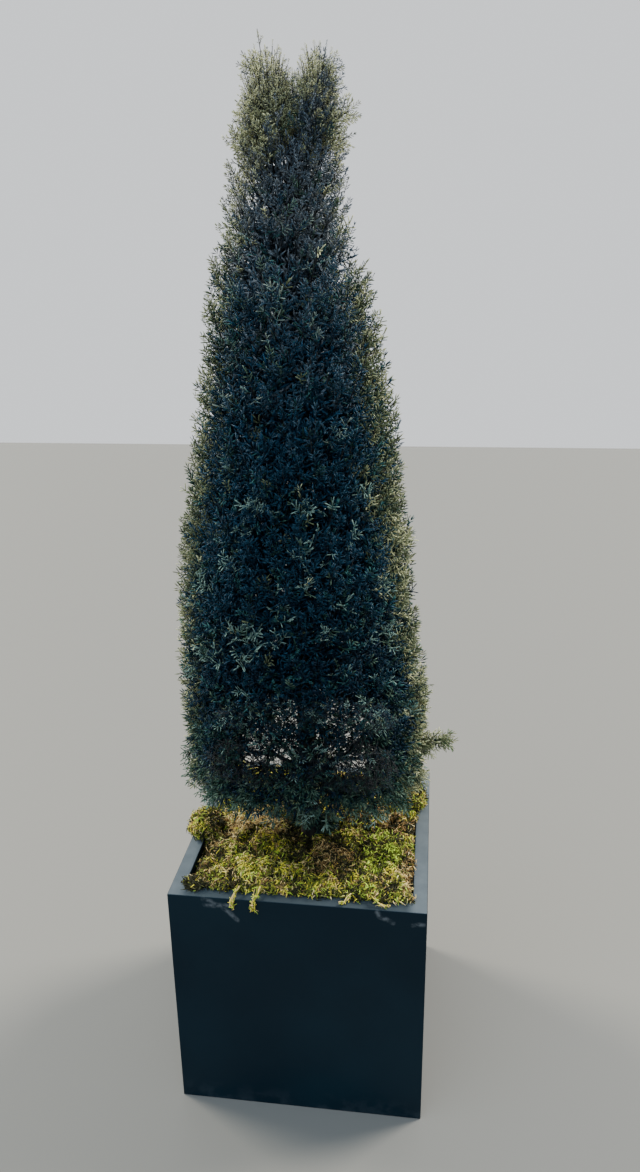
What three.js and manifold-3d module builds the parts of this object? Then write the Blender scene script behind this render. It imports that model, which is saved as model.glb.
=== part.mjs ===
// A conifer clipped to a tall cone, in a square planter topped with moss.
// Millimetres, +Z up. The origin is the middle of the planter's underside, and the front faces -Y.

import * as THREE from "three";
import { mergeVertices } from "three/addons/utils/BufferGeometryUtils.js";
import Module from "manifold-3d";

const wasm = await Module();
wasm.setup();

// Planter, soil and moss
const planterWidth = 457;
const planterHeight = 470;
const wallThickness = 26;
const edgeRound = 3;
const cavityWidth = planterWidth - 2 * wallThickness;
const clearance = 0.3;
const soilTop = 430;
const mossBottom = soilTop + clearance;

// Trunk: a flared foot on the soil, a slight lean to the left, and a fork under the tip
const trunkFoot = soilTop + clearance;
const trunkFork = 1600;
const trunkLean = -26;
const trunkRadii = [
  { at: 0, radius: 27 },
  { at: 0.03, radius: 21 },
  { at: 0.09, radius: 18.5 },
  { at: 0.3, radius: 17 },
  { at: 0.6, radius: 14 },
  { at: 1, radius: 10 },
];
const trunkSides = 12;

// Leaders: three boughs that stand on the fork, each up to the foot of its plume
const leaderRadius = 4;
const leaderTipRadius = 3.2;
const leaderSpacing = 5;
const leaders = [
  { name: "right", turn: 0, tip: [4, -5, 1706] },
  { name: "back", turn: 100, tip: [-18, 23, 1704] },
  { name: "left", turn: 215, tip: [-38, -7, 1706] },
];

// Crown tiers from the bottom up. Heights are above the floor. The left and right reach are measured
// from the planter's axis at the tier's foot and head. Rise is the slope of the tier's own faces, climb
// the sprays' elevation in degrees, stand how far they stand out of the core, and inner the radius of
// the hollow round the trunk.
const tiers = [
  { name: "skirt", foot: 590, head: 775, left: [234, 242], right: [222, 226], rise: [-0.1, 0.3],
    climb: [-48, 42], stand: 17, inner: 130, turn: 0, sectors: ["right", "back", "left", "front"], sprays: 12 },
  { name: "lower", foot: 775, head: 950, left: [242, 237], right: [225, 195], rise: [0.3, 0.65],
    climb: [42, 50], stand: 17, inner: 112, turn: 45,
    sectors: ["back_right", "back_left", "front_left", "front_right"], sprays: 11 },
  { name: "waist", foot: 950, head: 1108, left: [237, 217], right: [194, 187], rise: [0.65, 0.85],
    climb: [48, 54], stand: 16, inner: 95, turn: 0, sectors: ["right", "back", "left", "front"], sprays: 10 },
  { name: "middle", foot: 1108, head: 1300, left: [215, 181], right: [176, 156], rise: [0.85, 1.0],
    climb: [52, 58], stand: 16, inner: 65, turn: 45,
    sectors: ["back_right", "back_left", "front_left", "front_right"], sprays: 10 },
  { name: "upper", foot: 1300, head: 1535, left: [181, 143], right: [155, 105], rise: [1.0, 1.15],
    climb: [56, 61], stand: 15, inner: 38, turn: 0, sectors: ["right", "back_left", "front_left"], sprays: 13 },
  { name: "neck", foot: 1535, head: 1748, left: [140, 98], right: [88, 64], rise: [1.15, 1.2],
    climb: [58, 63], stand: 14, inner: 22, turn: 60, sectors: ["back_right", "left", "front_right"], sprays: 11 },
];
// The skirt's lower edge is lowest at the sides and lifts to the front and more to the back
const skirtLift = { across: 24, back: 14 };
const tierMargin = 2;
const sectorMargin = 3;
const coreRounding = 6;
const coreRipple = 6;

// Plumes over the leaders, each a core with its own half widths and the top that its last spray reaches
const plumes = [
  { name: "right", at: [17, -11, 1738], half: [31, 42, 52], top: [29, 2, 1823], span: [-90, 34] },
  { name: "back", at: [-19, 47, 1738], half: [38, 18, 44], top: [-26, 44, 1797], span: [34, 145] },
  { name: "left", at: [-52, -12, 1740], half: [29, 42, 54], top: [-59, -12, 1831], span: [145, 270] },
];
const plumeCentre = [-20, 12];
const plumeSprays = 13;
const plumeStand = 14;
const plumeFloor = 1700;

// The low sprays at the trunk's foot
const foot = { bottom: 512, top: 588, core: 30, reach: 50, sprays: 6 };

// Single shoots that stand out of the clipped outline, from a point in a mass to their tip
const shoots = [
  { mass: "foliage_skirt_right", from: [176, -8, 676], to: [281, -14, 687], sprays: 5 },
  { mass: "foliage_skirt_right", from: [190, 22, 660], to: [232, 34, 604], sprays: 1 },
  { mass: "foliage_skirt_left", from: [-190, -62, 650], to: [-226, -71, 587], sprays: 1 },
  { mass: "foliage_lower_front_right", from: [196, -16, 796], to: [234, -16, 800], sprays: 1 },
  { mass: "foliage_neck_front_right", from: [28, -26, 1690], to: [96, -24, 1737], sprays: 3 },
  { mass: "foliage_neck_front_right", from: [28, -28, 1668], to: [91, -30, 1694], sprays: 3 },
];

// Sprays and twigs
const sprayThickness = 3.2;
const sprayWidth = 42;
const spraySunk = 12;
const stemRadius = 5;
const twigRadius = 3;

const colours = { planter: 0x1c2a33, soil: 0x2e2219, moss: 0x7d8a2c, bark: 0x4a3d31, foliage: 0x24382c };
const degrees = Math.PI / 180;
const up = new THREE.Vector3(0, 0, 1);
const point = (p) => new THREE.Vector3(...p);
const mix = THREE.MathUtils.lerp;

// A repeatable stream of numbers from 0 to 1
function randomFrom(seed) {
  let state = seed;
  return () => {
    state = (state + 0x6d2b79f5) | 0;
    let t = Math.imul(state ^ (state >>> 15), 1 | state);
    t = (t + Math.imul(t ^ (t >>> 7), 61 | t)) ^ t;
    return ((t ^ (t >>> 14)) >>> 0) / 4294967296;
  };
}

// Solids for cutting and joining
function solidOf(geometry) {
  const bare = geometry.clone();
  for (const name of ["normal", "uv"]) bare.deleteAttribute(name);
  const merged = mergeVertices(bare, 1e-4);
  return new wasm.Manifold(
    new wasm.Mesh({
      numProp: 3,
      vertProperties: new Float32Array(merged.attributes.position.array),
      triVerts: new Uint32Array(merged.index.array),
    }),
  );
}

function join(solids) {
  return solids.reduce((whole, next) => whole.add(next));
}

// The largest closed body of a solid, so that no loose scrap is kept
function mainBody(solid) {
  return solid.decompose().sort((a, b) => b.volume() - a.volume())[0];
}

function meshOf(solid, name, colour, roughness = 0.85) {
  const made = solid.getMesh();
  const geometry = new THREE.BufferGeometry();
  geometry.setAttribute("position", new THREE.BufferAttribute(made.vertProperties, 3));
  geometry.setIndex(new THREE.BufferAttribute(made.triVerts, 1));
  const faceted = geometry.toNonIndexed();
  faceted.computeVertexNormals();
  const material = new THREE.MeshStandardMaterial({ color: colour, roughness, metalness: 0, flatShading: true });
  const mesh = new THREE.Mesh(faceted, material);
  mesh.name = name;
  return mesh;
}

// Planter, soil and moss
function squareShape(width, radius) {
  const half = width / 2;
  const shape = new THREE.Shape();
  shape.moveTo(-half + radius, -half);
  shape.lineTo(half - radius, -half);
  shape.absarc(half - radius, -half + radius, radius, -Math.PI / 2, 0);
  shape.absarc(half - radius, half - radius, radius, 0, Math.PI / 2);
  shape.absarc(-half + radius, half - radius, radius, Math.PI / 2, Math.PI);
  shape.absarc(-half + radius, -half + radius, radius, Math.PI, 1.5 * Math.PI);
  return shape;
}

function squareBlock(width, radius, bottom, top) {
  const block = new THREE.ExtrudeGeometry(squareShape(width, radius), {
    depth: top - bottom,
    bevelEnabled: false,
    curveSegments: 2,
  });
  return solidOf(block.translate(0, 0, bottom));
}

function planter() {
  const cavity = squareBlock(cavityWidth, edgeRound, wallThickness, planterHeight + 1);
  return squareBlock(planterWidth, edgeRound, 0, planterHeight).subtract(cavity);
}

function soil() {
  return squareBlock(cavityWidth - 2 * clearance, edgeRound, wallThickness + clearance, soilTop);
}

// Moss is pressed in as clumps. Each fills its own cell of the planter's mouth and is humped on top.
const mossCells = [
  { name: "front_left", x: [-202, -66], y: [-202, -58], hump: 24 },
  { name: "front_middle", x: [-66, 62], y: [-202, -58], hump: 22 },
  { name: "front_right", x: [62, 199], y: [-202, -58], hump: 23 },
  { name: "left", x: [-202, 0], y: [-58, 66], hump: 28, spill: { at: [-205, -12, 482], size: [37, 42, 23] } },
  { name: "right", x: [0, 199], y: [-58, 66], hump: 30 },
  { name: "back_left", x: [-202, -66], y: [66, 202], hump: 26 },
  { name: "back_middle", x: [-66, 62], y: [66, 202], hump: 24 },
  { name: "back_right", x: [62, 199], y: [66, 202], hump: 26, spill: { at: [193, 114, 480], size: [28, 44, 22] } },
];
const mossEdge = 27;
const mossGap = 0.5;
const mossRows = 4;

function mossClump(cell, seed, trunkCutter) {
  const random = randomFrom(seed);
  const lumps = Array.from({ length: (mossRows + 1) ** 2 }, () => 0.7 + 0.5 * random());
  const block = new THREE.BoxGeometry(1, 1, 1, mossRows, mossRows, 1);
  const at = block.attributes.position;
  for (let i = 0; i < at.count; i++) {
    const across = at.getX(i) + 0.5;
    const along = at.getY(i) + 0.5;
    const lump = lumps[Math.round(across * mossRows) * (mossRows + 1) + Math.round(along * mossRows)];
    const crown = Math.sqrt(Math.max(0, Math.sin(Math.PI * across) * Math.sin(Math.PI * along)));
    const top = mossBottom + mossEdge + cell.hump * lump * crown;
    at.setXYZ(
      i,
      mix(cell.x[0] + mossGap, cell.x[1] - mossGap, across),
      mix(cell.y[0] + mossGap, cell.y[1] - mossGap, along),
      at.getZ(i) > 0 ? top : mossBottom,
    );
  }
  let clump = solidOf(block);
  if (cell.spill) {
    const lobe = new THREE.SphereGeometry(1, 10, 6);
    lobe.rotateX(Math.PI / 2).scale(...cell.spill.size).translate(...cell.spill.at);
    const overRim = squareBlock(planterWidth + 80, edgeRound, planterHeight + clearance, planterHeight + 80);
    const inMouth = squareBlock(cavityWidth - 1, edgeRound, mossBottom, planterHeight + 1);
    clump = clump.add(solidOf(lobe).intersect(overRim.add(inMouth)));
  }
  return mainBody(clump.subtract(trunkCutter));
}

// Trunk and leaders
function trunkAxis(height) {
  const share = THREE.MathUtils.clamp((height - trunkFoot) / (trunkFork - trunkFoot), 0, 1);
  return new THREE.Vector3(trunkLean * share ** 0.8, 0, height);
}

function trunk(extra = 0) {
  const profile = [new THREE.Vector2(0, -extra)];
  for (const { at, radius } of trunkRadii)
    profile.push(new THREE.Vector2(radius + extra, at * (trunkFork - trunkFoot) + (at === 1 ? extra : 0)));
  profile[1].y = -extra;
  profile.push(new THREE.Vector2(0, trunkFork - trunkFoot + extra));
  const lathe = new THREE.LatheGeometry(profile, trunkSides).rotateX(Math.PI / 2);
  const at = lathe.attributes.position;
  for (let i = 0; i < at.count; i++) {
    const height = at.getZ(i) + trunkFoot;
    at.setXYZ(i, at.getX(i) + trunkAxis(height).x, at.getY(i), height);
  }
  return solidOf(lathe);
}

// A tapering limb from one point to another
function limb(from, to, radiusFrom, radiusTo, sides) {
  const axis = to.clone().sub(from);
  const rod = new THREE.CylinderGeometry(radiusTo, radiusFrom, axis.length(), sides);
  rod.applyQuaternion(new THREE.Quaternion().setFromUnitVectors(new THREE.Vector3(0, 1, 0), axis.clone().normalize()));
  rod.translate(...from.clone().add(to).multiplyScalar(0.5).toArray());
  return solidOf(rod);
}

function leaderFoot(leader) {
  const turn = leader.turn * degrees;
  return trunkAxis(trunkFork).add(new THREE.Vector3(Math.cos(turn), Math.sin(turn), 0).multiplyScalar(leaderSpacing));
}

function leader(one, extra = 0) {
  const from = leaderFoot(one);
  const to = point(one.tip);
  const sunk = from.clone().add(from.clone().sub(to).normalize().multiplyScalar(20));
  const rod = limb(sunk, to, leaderRadius + extra, leaderTipRadius + extra, 8);
  const level = trunkFork + clearance - extra;
  const below = new THREE.BoxGeometry(200, 200, 200).translate(from.x, from.y, level - 100);
  return rod.subtract(solidOf(below));
}

// Crown surface: the height, radius, centre and rise of the clipped outline, at a turn round the crown
// and a share of the way up a tier
function outline(tier, turn, share) {
  const lift = tier === tiers[0] ? skirtLift.across * (1 - Math.cos(2 * turn)) + skirtLift.back * Math.sin(turn) : 0;
  const left = mix(tier.left[0], tier.left[1], share);
  const right = mix(tier.right[0], tier.right[1], share);
  return {
    height: mix(tier.foot + lift, tier.head, share),
    radius: (left + right) / 2,
    centre: (right - left) / 2,
    rise: mix(tier.rise[0], tier.rise[1], share),
  };
}

// A point of the crown by its turn, its share of the way up the tier and its depth under the surface
function crownPoint(tier, turn, share, depth) {
  const { height, radius, centre, rise } = outline(tier, turn, share);
  const reach = radius - depth;
  return new THREE.Vector3(centre + reach * Math.cos(turn), reach * Math.sin(turn), height - rise * depth);
}

// The way back: the turn, the reach and the share of a point, by halving
function crownPlace(tier, at) {
  let [low, high] = [-0.5, 1.5];
  for (let i = 0; i < 24; i++) {
    const share = (low + high) / 2;
    const { height, radius, centre, rise } = outline(tier, Math.atan2(at.y, at.x), share);
    const level = height - rise * (radius - Math.hypot(at.x - centre, at.y));
    if (level < at.z) low = share;
    else high = share;
  }
  const { height, centre } = outline(tier, Math.atan2(at.y, at.x), low);
  return { turn: Math.atan2(at.y, at.x - centre), height, share: low, reach: Math.hypot(at.x - centre, at.y) };
}

// A flat fork of two or three tines, along +Y from its root
function sprayTips(length, tines) {
  const half = sprayWidth / 2;
  if (tines === 2) return [[half, length * 0.82], [-half * 0.7, length]];
  return [[half, length * 0.78], [0, length], [-half, length * 0.82]];
}

function sprayBlade(length, tines) {
  const tips = sprayTips(length, tines);
  const shape = new THREE.Shape();
  shape.moveTo(-3.5, 0);
  shape.lineTo(3.5, 0);
  tips.forEach(([x, y], i) => {
    const next = tips[i + 1];
    shape.lineTo(x, y);
    if (next) shape.lineTo((x + next[0]) * 0.4, length * 0.55);
  });
  const blade = new THREE.ExtrudeGeometry(shape, { depth: sprayThickness, bevelEnabled: false });
  return blade.translate(0, 0, -sprayThickness / 2);
}

// A spray as a solid, with the points of its tines
function spray(root, heading, length, roll, tines) {
  const along = new THREE.Vector3(0, 1, 0);
  const pose = new THREE.Quaternion().setFromUnitVectors(along, heading);
  pose.multiply(new THREE.Quaternion().setFromAxisAngle(along, roll));
  const blade = sprayBlade(length, tines).applyQuaternion(pose).translate(...root.toArray());
  const tips = sprayTips(length, tines).map(([x, y]) => new THREE.Vector3(x, y, 0).applyQuaternion(pose).add(root));
  return { solid: solidOf(blade), tips };
}

function headingAt(turn, climb) {
  return new THREE.Vector3(Math.cos(turn), Math.sin(turn), 0)
    .multiplyScalar(Math.cos(climb * degrees))
    .addScaledVector(up, Math.sin(climb * degrees));
}

// A core is a block bent round the trunk, between the tier's two slanting faces
function tierCore(tier, span) {
  const block = new THREE.BoxGeometry(1, 1, 1, 5, 1, 3);
  const at = block.attributes.position;
  const margin = tierMargin / (tier.head - tier.foot);
  for (let i = 0; i < at.count; i++) {
    const across = at.getX(i) + 0.5;
    const inwards = at.getY(i) + 0.5;
    const climbing = at.getZ(i) + 0.5;
    const share = mix(margin, 1 - margin, climbing);
    const { radius } = outline(tier, 0, share);
    const pillow = coreRounding * (Math.abs(across * 2 - 1) ** 3 + Math.abs(climbing * 2 - 1) ** 3);
    const ripple = coreRipple * Math.sin(13 * across + 8 * climbing + span[0]) * Math.cos(11 * climbing - 5 * across);
    const depth = mix(tier.stand + pillow + ripple, radius - tier.inner, inwards);
    const edge = sectorMargin / (radius - depth);
    const place = crownPoint(tier, mix(span[0] + edge, span[1] - edge, across), share, depth);
    at.setXYZ(i, place.x, place.y, place.z);
  }
  return mirroredIfInside(block);
}

// Bending a box can turn it inside out, and then each face is turned round
function mirroredIfInside(geometry) {
  const made = solidOf(geometry);
  if (made.volume() > 0) return made;
  const index = geometry.index.array;
  for (let i = 0; i < index.length; i += 3) [index[i + 1], index[i + 2]] = [index[i + 2], index[i + 1]];
  return solidOf(geometry);
}

// The stem leaves the trunk, forks on its way out, and its twigs run into the core
function stemOf(tier, span, random) {
  const middle = (span[0] + span[1]) / 2;
  const { radius } = outline(tier, middle, 0.5);
  const end = crownPoint(tier, middle, 0.5, radius - tier.inner - 12);
  const from = trunkAxis(end.z - (tier.inner - 12) * 0.7);
  if (tier.inner < 50) return [limb(from, end, stemRadius, twigRadius, 3)];
  const fork = from.clone().lerp(end, 0.45);
  const parts = [limb(from, fork, stemRadius, twigRadius + 1, 3)];
  for (const side of [-1, 1]) {
    const turn = middle + side * (span[1] - span[0]) * 0.25;
    const into = crownPoint(tier, turn, 0.35 + 0.3 * random(), radius - tier.inner - 14);
    const back = fork.clone().add(from.clone().sub(fork).normalize().multiplyScalar(4));
    parts.push(limb(back, into, twigRadius, twigRadius - 0.6, 3));
  }
  return parts;
}

function tierMass(tier, sector, seed, limbCutter) {
  const name = `foliage_${tier.name}_${tier.sectors[sector]}`;
  const random = randomFrom(seed);
  const width = (2 * Math.PI) / tier.sectors.length;
  const middle = tier.turn * degrees + sector * width;
  const span = [middle - width / 2, middle + width / 2];
  const parts = [tierCore(tier, span), ...stemOf(tier, span, random)];
  for (let i = 0; i < tier.sprays; i++) {
    const across = (0.5 + i * 0.7549 + 0.08 * random()) % 1;
    const climbing = (0.5 + i * 0.5698 + 0.08 * random()) % 1;
    const turn = mix(span[0], span[1], 0.06 + 0.88 * across);
    const climb = mix(tier.climb[0], tier.climb[1], climbing) + 14 * (random() - 0.5);
    const slope = Math.tan(climb * degrees) - mix(tier.rise[0], tier.rise[1], climbing);
    const gain = (slope * (tier.stand + spraySunk) + 4 * Math.sign(slope)) / (tier.head - tier.foot);
    const share = mix(-Math.min(gain, -0.02), 1 - Math.max(gain, 0.02), climbing);
    const root = crownPoint(tier, turn, share, tier.stand + spraySunk);
    const heading = headingAt(turn + 0.4 * (random() - 0.5), climb);
    const length = ((tier.stand + spraySunk) / Math.cos(climb * degrees)) * (0.9 + 0.14 * random());
    const one = spray(root, heading, length, random() * Math.PI, 2 + (i % 2));
    if (one.tips.every((tip) => staysInside(tier, span, tip))) parts.push(one.solid);
  }
  parts.push(...shootsOf(name, random));
  return { name, solid: mainBody(join(parts).subtract(limbCutter)) };
}

function staysInside(tier, span, tip) {
  const place = crownPlace(tier, tip);
  const middle = (span[0] + span[1]) / 2;
  const off = Math.atan2(Math.sin(place.turn - middle), Math.cos(place.turn - middle));
  const edge = (span[1] - span[0]) / 2 - 2.5 / place.reach;
  const margin = 2.5 / (tier.head - tier.foot);
  const free = tier === tiers[0] ? -0.12 : margin;
  return Math.abs(off) < edge && place.share > free && place.share < 1 - margin;
}

function shootsOf(name, random) {
  const parts = [];
  for (const shoot of shoots.filter((s) => s.mass === name)) {
    const from = point(shoot.from);
    const to = point(shoot.to);
    const heading = to.clone().sub(from).normalize();
    const length = from.distanceTo(to);
    const last = Math.min(34, length * 0.6);
    parts.push(limb(from, to.clone().addScaledVector(heading, -last * 0.6), twigRadius, twigRadius * 0.7, 3));
    for (let i = 0; i < shoot.sprays; i++) {
      const back = last + i * 15;
      const aside = new THREE.Vector3(0, i ? (i % 2 ? 0.5 : -0.5) : 0, i ? (i % 2 ? 0.25 : -0.4) : 0);
      const root = to.clone().addScaledVector(heading, -back);
      parts.push(spray(root, heading.clone().add(aside).normalize(), last, random() * Math.PI, 3).solid);
    }
  }
  return parts;
}

function staysInPlume(span, at) {
  const away = new THREE.Vector2(at.x - plumeCentre[0], at.y - plumeCentre[1]);
  const off = (away.angle() / degrees - (span[0] + span[1]) / 2 + 540) % 360;
  const edge = 2.5 / Math.max(away.length(), 6) / degrees;
  return Math.abs(off - 180) < (span[1] - span[0]) / 2 - edge;
}

// A plume is an upright core over its leader's tip, with sprays up and round it
function plumeMass(plume, one, seed, limbCutter) {
  const name = `foliage_plume_${plume.name}`;
  const random = randomFrom(seed);
  const top = point(plume.top);
  const core = new THREE.SphereGeometry(1, 8, 6).rotateX(Math.PI / 2).scale(...plume.half).translate(...plume.at);
  const parts = [solidOf(core), limb(point(one.tip).setZ(one.tip[2] - 6), point(plume.at), 5.5, 5.5, 6)];
  for (let i = 0; i < plumeSprays; i++) {
    const last = i === plumeSprays - 1;
    const climbing = mix(-0.35, 0.8, i / (plumeSprays - 1));
    const turn = i * 137.5 * degrees + random() * 0.4;
    const flat = Math.sqrt(1 - climbing ** 2);
    const out = new THREE.Vector3(Math.cos(turn) * flat, Math.sin(turn) * flat, climbing);
    const onCore = out.multiply(point(plume.half)).add(point(plume.at));
    const outward = headingAt(turn, last ? 85 : mix(50, 76, (climbing + 1) / 2));
    const root = onCore.clone().addScaledVector(outward, -spraySunk);
    const heading = last ? top.clone().sub(root).normalize() : outward;
    const length = last ? root.distanceTo(top) : spraySunk + plumeStand * (1 + 0.8 * climbing + 0.5 * random());
    const made = spray(root, heading, length, random() * Math.PI, last ? 3 : 2 + (i % 2));
    const apart = [root, ...made.tips].every((at) => staysInPlume(plume.span, at));
    if (apart && made.tips.every((at) => at.z > plumeFloor)) parts.push(made.solid);
  }
  const above = join(parts).subtract(limbCutter).subtract(crownBelowPlumes());
  return { name, solid: mainBody(above) };
}

// The top tier's own space, which the plumes stand clear of
function crownBelowPlumes() {
  const last = tiers[tiers.length - 1];
  const { height, radius, centre, rise } = outline(last, 0, 1);
  const level = (reach) => height - rise * (radius - reach) + tierMargin;
  const profile = [[0, 1500], [130, 1500], [130, level(130)], [0, level(0)]].map(([r, z]) => new THREE.Vector2(r, z));
  return solidOf(new THREE.LatheGeometry(profile, 24).rotateX(Math.PI / 2).translate(centre, 0, 0));
}

// The sprays at the trunk's foot stand out of two half rings
function footMass(side, seed, limbCutter) {
  const random = randomFrom(seed);
  const ring = new THREE.CylinderGeometry(foot.core - 4, foot.core, foot.top - foot.bottom, 10);
  ring.rotateX(Math.PI / 2).translate(0, 0, (foot.top + foot.bottom) / 2);
  const half = new THREE.BoxGeometry(200, 100, 300).translate(0, side * 51, (foot.top + foot.bottom) / 2);
  const parts = [solidOf(ring)];
  for (let i = 0; i < foot.sprays; i++) {
    const turn = (side * Math.PI) / 2 + (((i + 0.5) / foot.sprays) * 2 - 1) * 1.25;
    const height = mix(foot.bottom + 14, foot.top - 18, (i * 0.618) % 1);
    const root = new THREE.Vector3(Math.cos(turn), Math.sin(turn), 0).multiplyScalar(foot.core - 9).setZ(height);
    const heading = headingAt(turn, mix(-20, 40, random()));
    parts.push(spray(root, heading, foot.reach - foot.core + 8, random() * Math.PI, 2 + (i % 2)).solid);
  }
  const whole = join(parts).intersect(solidOf(half));
  return { name: side < 0 ? "foliage_foot_front" : "foliage_foot_back", solid: mainBody(whole.subtract(limbCutter)) };
}

// The whole plant in its planter
const plant = new THREE.Group();
const trunkSolid = trunk();
const mossCutter = trunk(1.5);
const limbCutter = join([trunk(clearance), ...leaders.map((one) => leader(one, clearance))]);

plant.add(meshOf(planter(), "planter", colours.planter, 0.55));
plant.add(meshOf(soil(), "soil", colours.soil));
mossCells.forEach((cell, i) =>
  plant.add(meshOf(mossClump(cell, 11 + i, mossCutter), `moss_${cell.name}`, colours.moss)),
);
plant.add(meshOf(trunkSolid, "trunk", colours.bark));
leaders.forEach((one) => plant.add(meshOf(leader(one), `leader_${one.name}`, colours.bark)));

const masses = [footMass(-1, 71, limbCutter), footMass(1, 72, limbCutter)];
tiers.forEach((tier, level) =>
  tier.sectors.forEach((_, sector) => masses.push(tierMass(tier, sector, 100 + level * 10 + sector, limbCutter))),
);
plumes.forEach((plume, i) => masses.push(plumeMass(plume, leaders[i], 200 + i, limbCutter)));
for (const { name, solid } of masses) plant.add(meshOf(solid, name, colours.foliage));

export default plant;
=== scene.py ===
# A conifer clipped to a tall cone, in a square planter topped with moss.
# Metres and +Z up, with the front toward -Y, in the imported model's frame. The tables of sizes are in mm.

import math

import bmesh
import bpy
import numpy as np
from mathutils import Matrix, Vector, noise


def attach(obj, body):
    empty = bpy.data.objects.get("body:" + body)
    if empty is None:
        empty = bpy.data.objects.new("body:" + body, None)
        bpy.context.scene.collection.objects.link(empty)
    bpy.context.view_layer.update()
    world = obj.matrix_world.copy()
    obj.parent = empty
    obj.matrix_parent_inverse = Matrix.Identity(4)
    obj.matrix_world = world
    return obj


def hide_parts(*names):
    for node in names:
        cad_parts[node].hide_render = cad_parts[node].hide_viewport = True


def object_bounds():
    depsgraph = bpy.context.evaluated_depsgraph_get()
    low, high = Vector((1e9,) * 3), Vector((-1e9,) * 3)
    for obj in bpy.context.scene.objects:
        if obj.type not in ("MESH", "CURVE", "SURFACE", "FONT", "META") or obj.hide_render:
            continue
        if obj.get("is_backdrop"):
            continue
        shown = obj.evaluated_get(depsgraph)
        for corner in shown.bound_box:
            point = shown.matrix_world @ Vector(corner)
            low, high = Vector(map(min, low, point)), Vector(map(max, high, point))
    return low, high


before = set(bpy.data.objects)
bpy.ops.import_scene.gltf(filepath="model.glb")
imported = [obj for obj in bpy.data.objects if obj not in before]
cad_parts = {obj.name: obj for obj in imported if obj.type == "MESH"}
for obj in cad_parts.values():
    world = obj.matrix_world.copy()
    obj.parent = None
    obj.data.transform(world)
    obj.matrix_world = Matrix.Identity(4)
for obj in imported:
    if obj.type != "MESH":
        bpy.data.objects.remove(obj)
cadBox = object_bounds()
mm = 0.001
scene = bpy.context.scene
goldenTurn = math.radians(137.5)
evenAcross, evenUp = 0.7549, 0.5698  # steps that spread points evenly over a surface
tiny = 1e-6
noise.seed_set(8)  # without this, noise_vector takes its offsets from the clock


def mix(a, b, share):
    return a + (b - a) * share


def smooth(low, high, value):  # 0 below low, 1 above high
    share = np.clip((value - low) / (high - low), 0, 1)
    return share * share * (3 - 2 * share)


def rows(keys, *lines):  # a dictionary for each line of values
    return [dict(zip(keys.split(), line)) for line in lines]


# Camera, at the photograph's place over the floor
view = {
    "place": (0.2117, -1.4401, 1.4784),
    "turns": (7.53, 19.12, -0.76),  # degrees to the left, down, and round the line of sight
    "focalPixels": 860.9,
    "imageHeight": 1172,
    "sensor": 36.0,
}


def makeCamera():
    data = bpy.data.cameras.new("camera")
    data.sensor_width = view["sensor"]
    data.lens = view["sensor"] * view["focalPixels"] / view["imageHeight"]
    camera = bpy.data.objects.new("camera", data)
    scene.collection.objects.link(camera)
    yaw, pitch, roll = (math.radians(turn) for turn in view["turns"])
    right = Vector((math.cos(yaw), math.sin(yaw), 0))
    ahead = Vector((-math.sin(yaw) * math.cos(pitch), math.cos(yaw) * math.cos(pitch), -math.sin(pitch)))
    above = right.cross(ahead)
    side = right * math.cos(roll) + above * math.sin(roll)
    top = above * math.cos(roll) - right * math.sin(roll)
    camera.matrix_world = Matrix((side, top, -ahead)).transposed().to_4x4()
    camera.location = view["place"]
    scene.camera = camera


# Studio: a plain pale floor, a soft room that is brighter behind the plant, and soft lamps on three sides
studio = {
    "floorSize": 14.0,
    "floorColour": (0.190, 0.188, 0.175),
    "floorRoughness": 0.7,
    "floorGrain": (3.0, 0.001, 0.1),
    "roomFront": (0.125, 0.195, 0.305),
    "roomBack": (0.90, 0.93, 0.96),
    "roomBlend": 0.7,  # how far to the front and back the room's two colours blend
    "roomStrength": 1.1,
    "lamps": rows(
        "name from colour strength spread",
        ("lampRight", (2.0, 1.2, 1.9), (1.0, 0.95, 0.84), 5.0, 20),
        ("lampLeft", (-2.2, 0.9, 1.8), (1.0, 0.94, 0.80), 3.7, 20),
        ("lampFront", (-0.5, -1.5, 2.6), (0.80, 0.92, 1.0), 2.0, 60),
    ),
}


def makeStudio():
    world = bpy.data.worlds.new("room")
    scene.world = world
    world.use_nodes = True
    tree = world.node_tree
    tree.nodes.clear()
    coordinates = addNode(tree, "ShaderNodeTexCoord").outputs["Generated"]
    split = addNode(tree, "ShaderNodeSeparateXYZ", {"Vector": coordinates})
    share = rangeNode(tree, split.outputs["Y"], -studio["roomBlend"], studio["roomBlend"])
    colour = colourMix(tree, share, studio["roomFront"], studio["roomBack"])
    light = addNode(tree, "ShaderNodeBackground", {"Color": colour, "Strength": studio["roomStrength"]})
    addNode(tree, "ShaderNodeOutputWorld", {"Surface": light.outputs["Background"]})
    for lamp in studio["lamps"]:
        data = bpy.data.lights.new(lamp["name"], "SUN")
        data.energy = lamp["strength"]
        data.color = lamp["colour"]
        data.angle = math.radians(lamp["spread"])
        made = bpy.data.objects.new(lamp["name"], data)
        made.rotation_euler = Vector(lamp["from"]).to_track_quat("Z", "Y").to_euler()
        scene.collection.objects.link(made)
    finish, tree, shader = newFinish("paleFloor", studio["floorColour"], studio["floorRoughness"])
    addGrain(tree, shader, objectCoordinates(tree), *studio["floorGrain"])
    shape = bmesh.new()
    bmesh.ops.create_grid(shape, x_segments=1, y_segments=1, size=studio["floorSize"] / 2)
    floor = pieceFrom(shape, "floor", [finish])
    floor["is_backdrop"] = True


# Materials
def addNode(tree, kind, values=(), **settings):  # an input takes a link from a socket, or else a value
    made = tree.nodes.new(kind)
    for word, value in settings.items():
        setattr(made, word, value)
    for word, value in dict(values).items():
        if isinstance(value, bpy.types.NodeSocket):
            tree.links.new(value, made.inputs[word])
        else:
            made.inputs[word].default_value = value
    return made


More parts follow.
